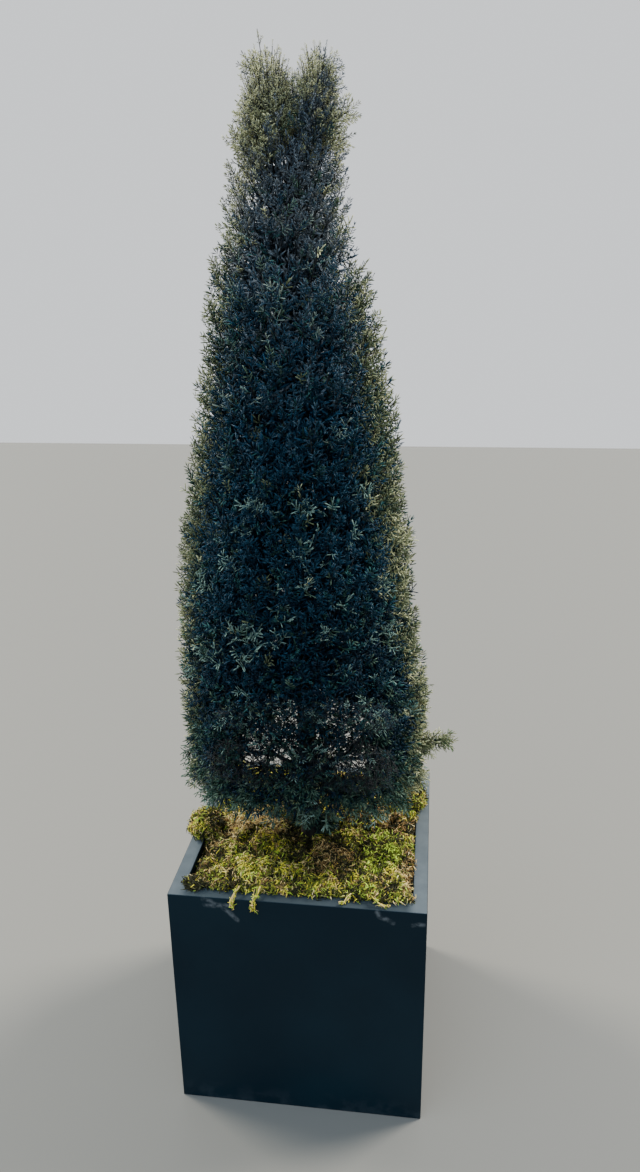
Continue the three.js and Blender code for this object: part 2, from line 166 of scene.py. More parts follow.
def newFinish(name, colour, roughness):
    finish = bpy.data.materials.new(name)
    finish.use_nodes = True
    shader = finish.node_tree.nodes["Principled BSDF"]
    shader.inputs["Base Color"].default_value = (*colour, 1)
    shader.inputs["Roughness"].default_value = roughness
    return finish, finish.node_tree, shader


def objectCoordinates(tree):
    return addNode(tree, "ShaderNodeTexCoord").outputs["Object"]


def noiseNode(tree, coordinates, scale, detail, stretch=None):
    if stretch:
        mapping = addNode(tree, "ShaderNodeMapping", {"Vector": coordinates, "Scale": stretch})
        coordinates = mapping.outputs["Vector"]
    values = {"Vector": coordinates, "Scale": scale, "Detail": detail}
    return addNode(tree, "ShaderNodeTexNoise", values).outputs["Fac"]


def rangeNode(tree, value, fromLow, fromHigh, toLow=0.0, toHigh=1.0):
    values = {"Value": value, "From Min": fromLow, "From Max": fromHigh, "To Min": toLow, "To Max": toHigh}
    return addNode(tree, "ShaderNodeMapRange", values, interpolation_type="SMOOTHSTEP").outputs["Result"]


def colourMix(tree, share, first, second):
    ends = [(*colour, 1) if isinstance(colour, tuple) else colour for colour in (first, second)]
    values = {"Factor": share, "A": ends[0], "B": ends[1]}
    return addNode(tree, "ShaderNodeMix", values, data_type="RGBA").outputs["Result"]


def mathNode(tree, operation, *values, clamp=False):
    made = addNode(tree, "ShaderNodeMath", enumerate(values), operation=operation, use_clamp=clamp)
    return made.outputs["Value"]


def vectorNode(tree, operation, output, values):
    return addNode(tree, "ShaderNodeVectorMath", values, operation=operation).outputs[output]


def newGroup(name, inputs, outputs):  # an input of None is a vector, and so is a normal
    group = bpy.data.node_groups.new(name, "ShaderNodeTree")
    for word, value in inputs.items():
        kind = "NodeSocketVector" if value is None else "NodeSocketFloat"
        socket = group.interface.new_socket(word, in_out="INPUT", socket_type=kind)
        if value is not None:
            socket.default_value = value
    for word in outputs:
        kind = "NodeSocketVector" if word == "Normal" else "NodeSocketFloat"
        group.interface.new_socket(word, in_out="OUTPUT", socket_type=kind)
    return group, addNode(group, "NodeGroupInput").outputs


def grainGroup():  # a fine uneven surface, as a mask and a normal
    inputs = {"Vector": None, "Scale": 200.0, "Detail": 4.0, "Strength": 0.2, "Height": 0.0003}
    group, into = newGroup("fineGrain", inputs, ["Mask", "Normal"])
    mask = noiseNode(group, into["Vector"], into["Scale"], into["Detail"])
    values = {"Strength": into["Strength"], "Distance": into["Height"], "Height": mask}
    normal = addNode(group, "ShaderNodeBump", values).outputs["Normal"]
    addNode(group, "NodeGroupOutput", {"Mask": mask, "Normal": normal})
    return group


def lineGroup():  # a soft line between two points of the front face, broken up by noise
    group, into = newGroup("rubbedLine", {"Vector": None, "From": None, "To": None, "Width": 0.003}, ["Mask"])
    wobble = noiseNode(group, into["Vector"], 60, 2.0)
    offset = mathNode(group, "MULTIPLY_ADD", wobble, 0.006, -0.003)
    away = vectorNode(group, "SUBTRACT", "Vector", {0: into["Vector"], 1: into["From"]})
    line = vectorNode(group, "SUBTRACT", "Vector", {0: into["To"], 1: into["From"]})
    reached = vectorNode(group, "DOT_PRODUCT", "Value", {0: away, 1: line})
    whole = vectorNode(group, "DOT_PRODUCT", "Value", {0: line, 1: line})
    along = mathNode(group, "DIVIDE", reached, whole, clamp=True)
    nearest = vectorNode(group, "SCALE", "Vector", {0: line, "Scale": along})
    distance = vectorNode(group, "DISTANCE", "Value", {0: away, 1: nearest})
    bent = mathNode(group, "ABSOLUTE", mathNode(group, "ADD", distance, offset))
    share = mathNode(group, "DIVIDE", bent, into["Width"])
    addNode(group, "NodeGroupOutput", {"Mask": rangeNode(group, share, 0.0, 1.0, 1.0, 0.0)})
    return group


fineGrain = grainGroup()
rubbedLine = lineGroup()


def addGrain(tree, shader, coordinates, scale, height, strength=0.3, detail=4.0):
    values = {"Vector": coordinates, "Scale": scale, "Height": height, "Strength": strength, "Detail": detail}
    made = addNode(tree, "ShaderNodeGroup", values, node_tree=fineGrain)
    tree.links.new(made.outputs["Normal"], shader.inputs["Normal"])
    return made.outputs["Mask"]


leaf = {
    "roughness": 0.5,
    "smoother": 0.1,
    "rougher": 0.12,
    "specular": 0.22,
    "grain": (700.0, 0.0004, 0.5, 2.0),  # its scale, height, strength and detail
}


def leafFinish(name, colour):
    finish, tree, shader = newFinish(name, colour, leaf["roughness"])
    shader.inputs["Specular IOR Level"].default_value = leaf["specular"]
    mask = addGrain(tree, shader, objectCoordinates(tree), *leaf["grain"])
    limits = leaf["roughness"] - leaf["smoother"], leaf["roughness"] + leaf["rougher"]
    tree.links.new(rangeNode(tree, mask, 0.3, 0.7, *limits), shader.inputs["Roughness"])
    return finish


# The streaks are the bark's own, while the default colours are kept dark and cool as painted shade, as the
# trunk and leaders stand deep in the crown
def barkFinish(name, dark=(0.020, 0.014, 0.010), pale=(0.060, 0.050, 0.042)):
    finish, tree, shader = newFinish(name, dark, 0.85)
    coordinates = objectCoordinates(tree)
    streaks = noiseNode(tree, coordinates, 90.0, 6.0, (1.0, 1.0, 0.16))
    colour = colourMix(tree, rangeNode(tree, streaks, 0.35, 0.68), dark, pale)
    tree.links.new(colour, shader.inputs["Base Color"])
    addGrain(tree, shader, coordinates, 420.0, 0.0008, 0.5)
    return finish


# Meshes
def pieceFrom(shape, name, finishes, smoothed=False):
    bmesh.ops.recalc_face_normals(shape, faces=shape.faces)
    mesh = bpy.data.meshes.new(name)
    shape.to_mesh(mesh)
    shape.free()
    for finish in finishes:
        mesh.materials.append(finish)
    if smoothed:
        mesh.polygons.foreach_set("use_smooth", [True] * len(mesh.polygons))
    piece = bpy.data.objects.new(name, mesh)
    scene.collection.objects.link(piece)
    return piece


def settle(piece, nodes):  # every piece rides on the one body and stands for its nodes
    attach(piece, "root")
    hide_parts(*nodes)


def joined(parts):  # many meshes as one, each as points, triangles and the tone of each triangle
    starts = np.cumsum([0] + [len(part[0]) for part in parts[:-1]])
    points = np.concatenate([part[0] for part in parts])
    triangles = np.concatenate([part[1] + start for part, start in zip(parts, starts)])
    return points, triangles, np.concatenate([part[2] for part in parts])


def joinedPiece(name, parts, finishes):  # the parts' points are in mm
    points, triangles, tones = joined(parts)
    triangles = triangles.astype(np.int32)
    mesh = bpy.data.meshes.new(name)
    mesh.vertices.add(len(points))
    mesh.vertices.foreach_set("co", (points * mm).astype(np.float32).ravel())
    mesh.loops.add(triangles.size)
    mesh.loops.foreach_set("vertex_index", triangles.ravel())
    mesh.polygons.add(len(triangles))
    mesh.polygons.foreach_set("loop_start", np.arange(0, triangles.size, 3, dtype=np.int32))
    for finish in finishes:
        mesh.materials.append(finish)
    mesh.polygons.foreach_set("material_index", tones.astype(np.int32))
    mesh.polygons.foreach_set("use_smooth", np.ones(len(triangles), dtype=bool))
    mesh.update(calc_edges=True)
    piece = bpy.data.objects.new(name, mesh)
    scene.collection.objects.link(piece)
    print("made", name, "with", len(triangles), "triangles")
    return piece


def unit(vectors):
    return vectors / np.maximum(np.linalg.norm(vectors, axis=-1, keepdims=True), 1e-9)


def crossAxes(headings):  # two unit vectors across each heading, right-handed with it
    level = np.where(np.abs(headings[:, 2:3]) > 0.9, [[1.0, 0.0, 0.0]], [[0.0, 0.0, 1.0]])
    first = np.cross(level, headings)
    first /= np.linalg.norm(first, axis=1, keepdims=True)
    return first, np.cross(headings, first)


def headingAt(turn, climb):  # turn in radians, climb in degrees
    turn, climb = np.broadcast_arrays(turn, np.radians(climb))
    return np.stack([np.cos(turn) * np.cos(climb), np.sin(turn) * np.cos(climb), np.sin(climb)], axis=-1)


def leaning(along, place, lean):  # headings that lean out by some degrees, to the side that place turns to
    first, second = crossAxes(along)
    aside = np.cos(place)[:, None] * first + np.sin(place)[:, None] * second
    lean = np.broadcast_to(np.radians(lean), len(place))
    return np.cos(lean)[:, None] * along + np.sin(lean)[:, None] * aside


# Tubes along many curves at once: paths is curves x stations x 3, radii is curves x stations
def tubes(paths, radii, sides=3):
    count, stations = paths.shape[:2]
    first, second = crossAxes(unit(paths[:, -1] - paths[:, 0]))
    turns = np.arange(sides) * 2 * math.pi / sides
    ring = np.cos(turns)[None, :, None] * first[:, None] + np.sin(turns)[None, :, None] * second[:, None]
    points = paths[:, :, None] + radii[:, :, None, None] * ring[:, None]
    faces = []
    for station in range(stations - 1):
        for side in range(sides):
            a, b = station * sides + side, station * sides + (side + 1) % sides
            faces += [(a, b, b + sides), (a, b + sides, a + sides)]
    last = (stations - 1) * sides
    for side in range(1, sides - 1):
        faces += [(0, side + 1, side), (last, last + side, last + side + 1)]
    faces = np.array(faces)
    triangles = (faces[None] + (np.arange(count) * stations * sides)[:, None, None]).reshape(-1, 3)
    return points.reshape(-1, 3), triangles, np.zeros(len(triangles), int)


def curved(start, middle, end, stations):  # from start to end, drawn toward the middle point
    share = np.linspace(0, 1, stations)[None, :, None]
    start, middle, end = start[:, None], middle[:, None], end[:, None]
    return (1 - share) ** 2 * start + 2 * share * (1 - share) * middle + share ** 2 * end


def taper(count, stations, fromRadius, toRadius):
    return np.broadcast_to(np.linspace(fromRadius, toRadius, stations), (count, stations))


# A sprig is made once in a few forms, each of closed three-sided fingers, and then placed many times.
# Its pairs of fingers are how far up the stem they stand, how many degrees they lean out, and their length
sprigShapes = {
    "antler": {
        "stem": 16.0, "stemRadius": 0.8, "tip": 10.5, "radius": 0.9,
        "blunt": True, "forms": 14, "missing": 0.28,
        "pairs": [(0.34, 64, 9.5), (0.68, 56, 12.0), (1.0, 44, 11.5)],
    },
    "shaded": {
        "stem": 17.0, "stemRadius": 0.8, "tip": 13.0, "radius": 1.1,
        "blunt": False, "forms": 8, "missing": 0.1,
        "pairs": [(0.28, 64, 10.0), (0.54, 60, 12.5), (0.78, 54, 13.0), (1.0, 42, 12.0)],
    },
    "coarse": {
        "stem": 20.0, "stemRadius": 1.3, "tip": 24.0, "radius": 2.1,
        "blunt": False, "forms": 6, "missing": 0.0,
        "pairs": [(0.45, 66, 24.0), (0.95, 48, 22.0)],
    },
    "feather": {
        "stem": 24.0, "stemRadius": 0.7, "tip": 8.0, "radius": 0.95,
        "blunt": False, "forms": 8, "missing": 0.05,
        "pairs": [(0.20, 50, 8.0), (0.42, 48, 9.5), (0.62, 46, 10.0), (0.81, 42, 9.5), (1.0, 32, 8.0)],
    },
}
# How much one sprig differs from the next: turns in radians, leans in degrees, the rest as shares
sprigHabit = {
    "twist": 1.1, "crossing": 0.3, "crossTurn": 0.9, "lean": 22, "turn": 0.5,
    "shortest": 0.8, "longer": 0.36, "bend": 0.24, "tipLean": 12, "tipBend": 0.08,
}


def finger(base, heading, length, radius, blunt, bend, zone):
    heading = unit(np.asarray(heading, dtype=float))[None]
    first, second = crossAxes(heading)
    turns = np.arange(3) * 2 * math.pi / 3
    ring = np.array([math.cos(t) * first[0] + math.sin(t) * second[0] for t in turns]) * radius
    side = bend * (math.cos(bend * 40) * first[0] + math.sin(bend * 40) * second[0]) * length
    end = base + heading[0] * length + side
    if blunt:
        near = base + heading[0] * length * 0.84 + side * 0.7
        points = np.array([*(base + ring * 0.7), *(near + ring), end])
        faces = [(0, 2, 1), (3, 4, 6), (4, 5, 6), (5, 3, 6)]
        faces += [(0, 1, 4), (0, 4, 3), (1, 2, 5), (1, 5, 4), (2, 0, 3), (2, 3, 5)]
    else:
        points = np.array([base, *(base + heading[0] * length * 0.6 + side * 0.3 + ring), end])
        faces = [(1, 2, 4), (2, 3, 4), (3, 1, 4), (2, 1, 0), (3, 2, 0), (1, 3, 0)]
    return points, np.array(faces), np.full(len(faces), zone)


def sprigForm(shape, seed):  # zone 0 is the stem, 1 its lower fingers and 2 its upper ones and the tip
    rng = np.random.default_rng(seed)
    habit = sprigHabit
    parts = [finger(np.zeros(3), (0, 0, 1), shape["stem"] * 1.1, shape["stemRadius"], False, 0.0, 0)]
    place = rng.random() * 2 * math.pi
    for share, angle, length in shape["pairs"]:
        base = np.array([0, 0, shape["stem"] * share])
        turn = habit["twist"] * (rng.random() - 0.5)
        place += turn + (habit["crossTurn"] if rng.random() < habit["crossing"] else 0)
        for side in (0, math.pi):
            if rng.random() < shape["missing"]:
                continue
            lean = angle + habit["lean"] * (rng.random() - 0.5)
            heading = headingAt(place + side + habit["turn"] * (rng.random() - 0.5), 90 - lean)
            size = length * (habit["shortest"] + habit["longer"] * rng.random())
            bend = habit["bend"] * (rng.random() - 0.5)
            zone = 1 if share < 0.6 else 2
            parts.append(finger(base, heading, size, shape["radius"], shape["blunt"], bend, zone))
    lean = headingAt(rng.random() * 2 * math.pi, 90 - habit["tipLean"] * rng.random())
    top = np.array([0, 0, shape["stem"]])
    parts.append(finger(top, lean, shape["tip"], shape["radius"], shape["blunt"], habit["tipBend"], 2))
    return joined(parts)


sprigForms = []
formRanges = {}
for word, shape in sprigShapes.items():
    formRanges[word] = (len(sprigForms), len(sprigForms) + shape["forms"])
    sprigForms += [sprigForm(shape, 900 + len(sprigForms) + i) for i in range(shape["forms"])]

# Foliage colours, and for each part of the crown five tones from hidden to bright,
# each as the colours of a sprig's stem, its lower fingers and its upper ones.
# Much of it is painted light and shade: the dark blue front, mid and high tones are painted shade,
# the side and tip tones painted sunlight, the hem tones painted light, and the inside tones painted haze
leafColours = {
    "wood": (0.060, 0.050, 0.040),
    "ink": (0.0070, 0.0340, 0.0600),
    "inner": (0.0130, 0.0570, 0.0980),
    # painted haze light: a bright blue for sprigs deep inside, to lift the crown's dark depths
    "well": (0.0130, 0.0700, 0.1300),
    "deep": (0.0040, 0.0220, 0.0460),
    "shade": (0.0060, 0.0430, 0.0700),
    "teal": (0.0360, 0.1350, 0.1350),
    # painted highlight: the sky's sheen on the brightest fingertips
    "frost": (0.2300, 0.3550, 0.3050),
    "dusk": (0.0320, 0.0800, 0.1200),
    "slate": (0.0800, 0.1200, 0.1580),
    # painted haze: these pale greys stand in for veiling light at the top of the crown
    "mist": (0.1700, 0.2000, 0.2250),
    "haze": (0.2500, 0.3200, 0.2700),
    "stone": (0.1350, 0.1350, 0.0950),
    "moor": (0.0070, 0.0270, 0.0260),
    "fern": (0.0240, 0.0740, 0.0560),
    "sage": (0.0950, 0.1650, 0.1150),
    "green": (0.1000, 0.1800, 0.0700),
    "ash": (0.2000, 0.2100, 0.1800),
    "sedge": (0.1550, 0.1850, 0.0950),
    "olive": (0.3100, 0.3250, 0.1700),
    "cream": (0.6500, 0.6600, 0.3800),
}
toneTable = {
    "low": "moor moor deep, moor moor fern, moor fern fern, moor fern sage, fern sage sage",
    # painted light: the hem's paler tones stand in for light where the crown shades it
    "hem": "moor fern fern, fern fern sage, fern sage sage, sage fern sage, sage sage frost",
    # painted shade: the front, mid and high tones are dark and blue as the crown's shaded front, and high
    # turns hazier
    "front": "deep deep ink, deep deep shade, deep shade shade, shade teal teal, teal frost frost",
    "mid": "ink inner inner, inner ink inner, inner shade inner, inner teal teal, teal frost frost",
    "high": "dusk dusk inner, dusk inner dusk, dusk teal dusk, shade teal slate, teal frost haze",
    # painted shade and haze: the tip's shaded side in grey slate and mist
    "crest": "slate slate mist, slate mist slate, slate mist slate, slate mist mist, mist mist slate",
    # painted sunlight: olive and cream on the edges that the light from behind catches
    "side": "moor moor fern, moor fern sedge, fern sedge sedge, wood olive olive, olive olive cream",
    "fresh": "moor fern green, fern green green, fern green green, green green olive, green olive olive",
    # painted sunlight: cream flecks over the top
    "tip": "stone mist mist, stone mist ash, stone ash olive, stone olive cream, stone cream cream",
    # painted haze light: the deep inside sprigs are brighter and bluer than the outer ones, so the depths
    # read navy, not black
    "inside": "ink ink ink, inner well inner, well well well, slate slate mist, mist mist mist",
}
brightest = 4  # the last of a family's tones
leafNames = list(leafColours)
toneFamilies = {word: (brightest + 1) * number for number, word in enumerate(toneTable)}
toneSets = np.array([
    [leafNames.index(word) for word in words.split()]
    for family in toneTable.values() for words in family.split(",")
])


def placeSprigs(sprigs):  # sprigs hold base, heading, roll, size, form and tone
    parts = []
    first, second = crossAxes(sprigs["heading"])
    cos, sin = np.cos(sprigs["roll"])[:, None], np.sin(sprigs["roll"])[:, None]
    axes = np.stack([first * cos + second * sin, second * cos - first * sin, sprigs["heading"]], axis=1)
    for number, (points, faces, zones) in enumerate(sprigForms):
        chosen = np.flatnonzero(sprigs["form"] == number)
        if not len(chosen):
            continue
        placed = np.einsum("pk,nkc->npc", points, axes[chosen]) * sprigs["size"][chosen, None, None]
        placed += sprigs["base"][chosen, None]
        starts = np.arange(len(chosen)) * len(points)
        triangles = (faces[None] + starts[:, None, None]).reshape(-1, 3)
        tones = toneSets[sprigs["tone"][chosen]][:, zones].ravel()
        parts.append((placed.reshape(-1, 3), triangles, tones))
    return parts


# Crown: the source's tiers, sectors and outline
trunkShape = {
    "foot": 430.3, "fork": 1600.0, "lean": -26.0,
    "radii": [(0, 27), (0.03, 21), (0.09, 18.5), (0.3, 17), (0.6, 14), (1, 10)],
}
leaders = rows(
    "name turn tip",
    ("right", 0, (4, -5, 1706)),
    ("back", 100, (-18, 23, 1704)),
    ("left", 215, (-38, -7, 1706)),
)
leaderShape = {"radius": 4.0, "tipRadius": 3.2, "spacing": 5.0, "gap": 0.3}
fourWays = ["right", "back", "left", "front"]
fourCorners = ["back_right", "back_left", "front_left", "front_right"]
tiers = rows(
    "name foot head left right rise climb stand inner turn sectors",
    ("skirt", 590, 775, (234, 242), (222, 226), (-0.1, 0.3), (-48, 42), 17, 130, 0, fourWays),
    ("lower", 775, 950, (242, 237), (225, 195), (0.3, 0.65), (42, 50), 17, 112, 45, fourCorners),
    ("waist", 950, 1108, (238, 220), (194, 187), (0.65, 0.85), (48, 54), 16, 95, 0, fourWays),
    ("middle", 1108, 1300, (218, 184), (176, 156), (0.85, 1.0), (52, 58), 16, 65, 45, fourCorners),
    ("upper", 1300, 1535, (184, 146), (155, 105), (1.0, 1.15), (56, 61), 15, 38, 0,
     ["right", "back_left", "front_left"]),
    ("neck", 1535, 1748, (140, 98), (88, 64), (1.15, 1.2), (58, 63), 14, 22, 60,
     ["back_right", "left", "front_right"]),
)
skirtLift = {"across": 24, "back": 14}
plumes = rows(
    "name at half top strands",
    ("right", (29, -11, 1742), (29, 40, 60), (31, 2, 1823), 98),
    ("back", (-19, 47, 1738), (38, 20, 54), (-26, 44, 1800), 72),
    ("left", (-46, -12, 1742), (36, 42, 63), (-60, -12, 1846), 110),
)
plumeHabit = {
    "stand": 14, "stations": 9, "climb": (52, 80), "radii": (1.3, 0.6), "rootSpread": 4, "edge": (12, 12, 30),
}
foot = {
    "bottom": 486, "top": 588, "start": 14, "reach": 60, "sprigs": 260,
    "climb": (-34, 40), "radii": (1.2, 0.8),
}

# Shoots that stray from the clipped outline, each with the mass that it belongs to
shoots = rows(
    "mass from to sprigs tones",
    ("skirt_right", (176, -8, 676), (262, -12, 685), 40, "side"),
    ("skirt_right", (196, -6, 668), (246, -10, 662), 18, "side"),
    ("skirt_right", (232, -10, 682), (281, -14, 687), 22, "fresh"),
    ("skirt_right", (160, -24, 640), (232, -30, 606), 26, "side"),
    ("skirt_right", (150, -30, 630), (206, -40, 600), 16, "side"),
    ("skirt_right", (176, -40, 640), (226, -50, 598), 14, "side"),
    ("skirt_right", (150, -80, 630), (196, -104, 574), 16, "low"),
    ("skirt_left", (-206, -52, 690), (-237, -60, 623), 16, "low"),
    ("skirt_left", (-200, -56, 660), (-229, -70, 588), 20, "low"),
    ("skirt_left", (-184, -70, 660), (-210, -80, 606), 14, "low"),
    ("skirt_left", (-170, -84, 656), (-192, -92, 590), 16, "low"),
    ("skirt_left", (-158, -96, 650), (-179, -110, 572), 20, "low"),
    ("skirt_left", (-144, -108, 650), (-160, -122, 578), 16, "low"),
    ("lower_front_right", (196, -16, 796), (234, -16, 800), 8, "side"),
    ("neck_front_right", (28, -26, 1690), (96, -24, 1737), 34, "tip"),
    ("neck_front_right", (28, -28, 1668), (91, -30, 1694), 26, "tip"),
    ("plume_right", (22, -12, 1740), (62, -14, 1806), 22, "tip"),
    ("plume_right", (24, -12, 1724), (70, -16, 1778), 24, "tip"),
    ("plume_left", (-48, -14, 1684), (-95, -18, 1748), 24, "tip"),
    ("plume_left", (-46, -30, 1676), (-88, -50, 1736), 20, "tip"),
    ("plume_left", (-46, 14, 1690), (-90, 26, 1752), 18, "tip"),
    ("neck_left", (-44, -14, 1640), (-109, -20, 1714), 30, "tip"),
    ("neck_left", (-44, -34, 1630), (-98, -58, 1700), 26, "tip"),
    ("plume_left", (-56, -12, 1770), (-84, -14, 1812), 16, "tip"),
)
# The finer growth that the solids stand for
growth = {
    "spraysPerArea": 1350,  # over each square metre of the crown's surface
    "skirtDensity": 1.3,  # how much more of them there are in the lowest tier
    "brightShare": 0.38,  # of the outer sprays, with blunt pale fingers
    "sunk": 12,  # how far a spray starts under the source's own
    "jitter": 0.08,  # how far places stray from even ones, as a share of the tier
    "climbSwing": 18,  # degrees
    "turnSwing": 0.6,  # radians
    "innerLayers": [(30, 0.55), (72, 0.3)],  # how much deeper, and how many for each outer spray
    "wideTier": 110,  # a tier whose core is at least as wide has only the first inner layer
    "sprigsPerSpray": 6,
    "sprigReach": 26,  # from a sprig's base to its tip
    "boughEvery": 9,  # sprays carried by one bough
    "deepestBough": 105,
    "fuzz": 8.0,  # how far a tip may stand out of the clipped outline
}
# How the light deals out the tones, which are painted light and shade. It comes from behind on both sides, so
# that the front is dealt painted shade and the sides and tip painted sunlight
toning = {
    "middle": 10,  # how far left of the trunk's foot the crown's middle is taken
    "pale": (1440, 1640),  # heights between which the tones turn to those of the tip
    "peaks": (1700, 1760),
    "bands": {"front": (640, 880), "mid": (880, 1060), "high": (1160, 1380), "crest": (1450, 1640)},
    "hem": (600, 690),
    "cool": (24, 52),  # how far right the tip turns to its shaded tones
    # Where the shade on the front ends, as turns in degrees at each height, and how softly
    "shadeHeights": [640, 900, 1100, 1560, 1680, 1770],
    "shadeLeft": [-153, -148, -142, -141, -114, -94],
    "shadeRight": [-20, -24, -36, -38, -34, -30],
    "shadeEdge": 12,
    "behind": (80, 130),  # degrees from the front between which the crown turns to its plainer back
    "dim": 0.6,  # how much less light the back gets
    "litShares": (0.42, 0.66),  # in the shade and in the light: sprays that are bright,
    "paleShares": (0.66, 0.70),  # sprigs that are pale on a bright spray,
    "halfShares": (0.28, 0.68),  # sprigs that are half pale,
    "plainShares": (0.55, 0.7),  # and sprigs that aren't hidden
    "insideHeights": [760, 1040, 1260, 1480, 1680],  # where each of the inside tones is the commonest
    "feather": (1440, 1600),  # heights between which the sprigs turn slender
    "slender": 0.86,
}
# Where light shows through between the low twigs, as seen on the crown's front: x and z, half widths,
# and the shares that are missing from the front twigs and from the growth behind them
windows = rows(
    "at half front behind",
    ((-50, 738), (58, 27), 0.76, 0.97),
    ((92, 740), (50, 28), 0.76, 0.97),
    ((-40, 764), (64, 34), 0.2, 0.6),
    ((92, 768), (58, 36), 0.2, 0.6),
)
# A dark net of fine twigs with short sprigs over the windows, above them and below them
windowNets = rows(
    "at half twigs sprigs",
    ((-46, 746), (94, 46), 560, 90),
    ((90, 748), (82, 48), 520, 80),
    ((-32, 826), (86, 36), 320, 280),
    ((92, 834), (76, 32), 240, 220),
    ((-4, 800), (24, 60), 130, 115),
    ((-48, 716), (92, 18), 150, 105),
    ((92, 718), (80, 18), 140, 100),
)
windowTwig = {"length": 24, "radius": 0.65, "depth": (4, 60), "climb": (25, 38)}
backEdge = {"top": 715, "fade": 60, "open": 0.42}
crownFront = -226
eye = np.array(view["place"]) / mm


def outline(tier, turn, share):
    lift = 0.0
    if tier is tiers[0]:
        lift = skirtLift["across"] * (1 - np.cos(2 * turn)) + skirtLift["back"] * np.sin(turn)
    left = mix(*tier["left"], share)
    right = mix(*tier["right"], share)
    height = mix(tier["foot"] + lift, tier["head"], share)
    return height, (left + right) / 2, (right - left) / 2, mix(*tier["rise"], share)


def crownPoint(tier, turn, share, depth):
    height, radius, centre, rise = outline(tier, turn, share)
    reach = radius - depth
    return np.stack([centre + reach * np.cos(turn), reach * np.sin(turn), height - rise * depth], axis=-1)


def trunkAxis(height):
    share = np.clip((height - trunkShape["foot"]) / (trunkShape["fork"] - trunkShape["foot"]), 0, 1)
    return np.stack([trunkShape["lean"] * share ** 0.8, 0 * share, height + 0 * share], axis=-1)


profileHeights = [height for tier in tiers for height in (tier["foot"], tier["head"] - 1)]
profileLeft = [reach for tier in tiers for reach in tier["left"]]
profileRight = [reach for tier in tiers for reach in tier["right"]]


def surfaceDepth(at):  # how deep a point lies under the clipped outline, measured level
    left = np.interp(at[:, 2], profileHeights, profileLeft)
    right = np.interp(at[:, 2], profileHeights, profileRight)
    return (left + right) / 2 - np.hypot(at[:, 0] - (right - left) / 2, at[:, 1])


def windowShare(at, word):  # along the line of sight, carried to the crown's front
    seen = eye + (at - eye) * ((crownFront - eye[1]) / (at[:, 1] - eye[1]))[:, None]
    share = np.zeros(len(at))
    for window in windows:
        middle, half = window["at"], window["half"]
        off = np.hypot((seen[:, 0] - middle[0]) / half[0], (seen[:, 2] - middle[1]) / half[1])
        share = np.maximum(share, window[word] * (1 - smooth(0.5, 1.2, off)))
    return share


def openness(at):  # 0 in the closed crown, up to 1 where light shows through
    share = np.where(at[:, 1] < -120, windowShare(at, "front"), windowShare(at, "behind"))
    edge = backEdge["open"] * (1 - smooth(backEdge["top"] - backEdge["fade"], backEdge["top"], at[:, 2]))
    return np.maximum(share, edge * (at[:, 1] > 60))


def sectorSpan(tier, sector):
    width = 2 * math.pi / len(tier["sectors"])
    middle = math.radians(tier["turn"]) + sector * width
    return middle - width / 2, middle + width / 2


def chosenRows(table, kept):
    return {key: value[kept] for key, value in table.items()}


def joinArrays(tables):
    return {key: np.concatenate([table[key] for table in tables]) for key in tables[0]}


# Sprays are placed by the source's rule, only many more of them, and each carries several sprigs
def sectorSprays(tier, span, rng, count, deeper=0):
    i = np.arange(count)
    across = (0.5 + i * evenAcross + growth["jitter"] * rng.random(count)) % 1
    climbing = (0.5 + i * evenUp + growth["jitter"] * rng.random(count)) % 1
    turn = mix(span[0], span[1], across)
    climb = mix(*tier["climb"], climbing) + growth["climbSwing"] * (rng.random(count) - 0.5)
    bright = (rng.random(count) < growth["brightShare"]) & (deeper == 0)
    depth = tier["stand"] + growth["sunk"] + np.where(bright, 4, 10) + 14 * rng.random(count) + deeper
    slope = np.tan(np.radians(climb)) - mix(*tier["rise"], climbing)
    gain = slope * depth / (tier["head"] - tier["foot"])
    lowest = -0.06 if tier is tiers[0] else 0.0
    root = crownPoint(tier, turn, mix(lowest, 1.0, climbing) - gain, depth)
    heading = headingAt(turn + growth["turnSwing"] * (rng.random(count) - 0.5), climb)
    rest = deeper + np.where(bright, 0, 5)
    length = (depth - rest) / np.cos(np.radians(climb)) * (0.9 + 0.16 * rng.random(count))
    middle = root + heading * length[:, None] * 0.7
    kept = rng.random(count) > (deeper > 0) * windowShare(middle, "behind")
    level = np.minimum(np.full(count, 2 if deeper else 0) + ~bright, 2)
    made = {"root": root, "heading": heading, "length": length, "level": level, "lit": rng.random(count)}
    return chosenRows(made, kept)


def sprigsOn(sprays, rng):  # level 0 is bright, 1 in the shade and 2 deep inside
    count = len(sprays["root"])
    each = growth["sprigsPerSpray"]
    parts = []
    start = rng.random(count) * 2 * math.pi
    size = 0.92 + 0.32 * rng.random(count)
    reach = np.maximum(sprays["length"] - 24 * size, 8)
    for k in range(each):
        last = k == each - 1
        share = 1.0 if last else 0.1 + 0.84 * (k + 0.5 * rng.random(count)) / (each - 1)
        lean = 6 if last else 34 + 24 * rng.random(count)
        heading = leaning(sprays["heading"], start + k * goldenTurn, lean)
        parts.append({
            "base": sprays["root"] + sprays["heading"] * (reach * share)[:, None],
            "heading": unit(heading + [0, 0, 0.1]),
            "size": size * (0.85 + 0.3 * rng.random(count)),
            "roll": rng.random(count) * 2 * math.pi,
            "level": sprays["level"],
            "lit": sprays["lit"],
        })
    sprigs = joinArrays(parts)
    middle = sprigs["base"] + sprigs["heading"] * 14
    kept = rng.random(len(middle)) > openness(middle)
    sprigs["size"] *= 1 - 0.25 * windowShare(middle, "behind")
    return chosenRows(sprigs, kept)


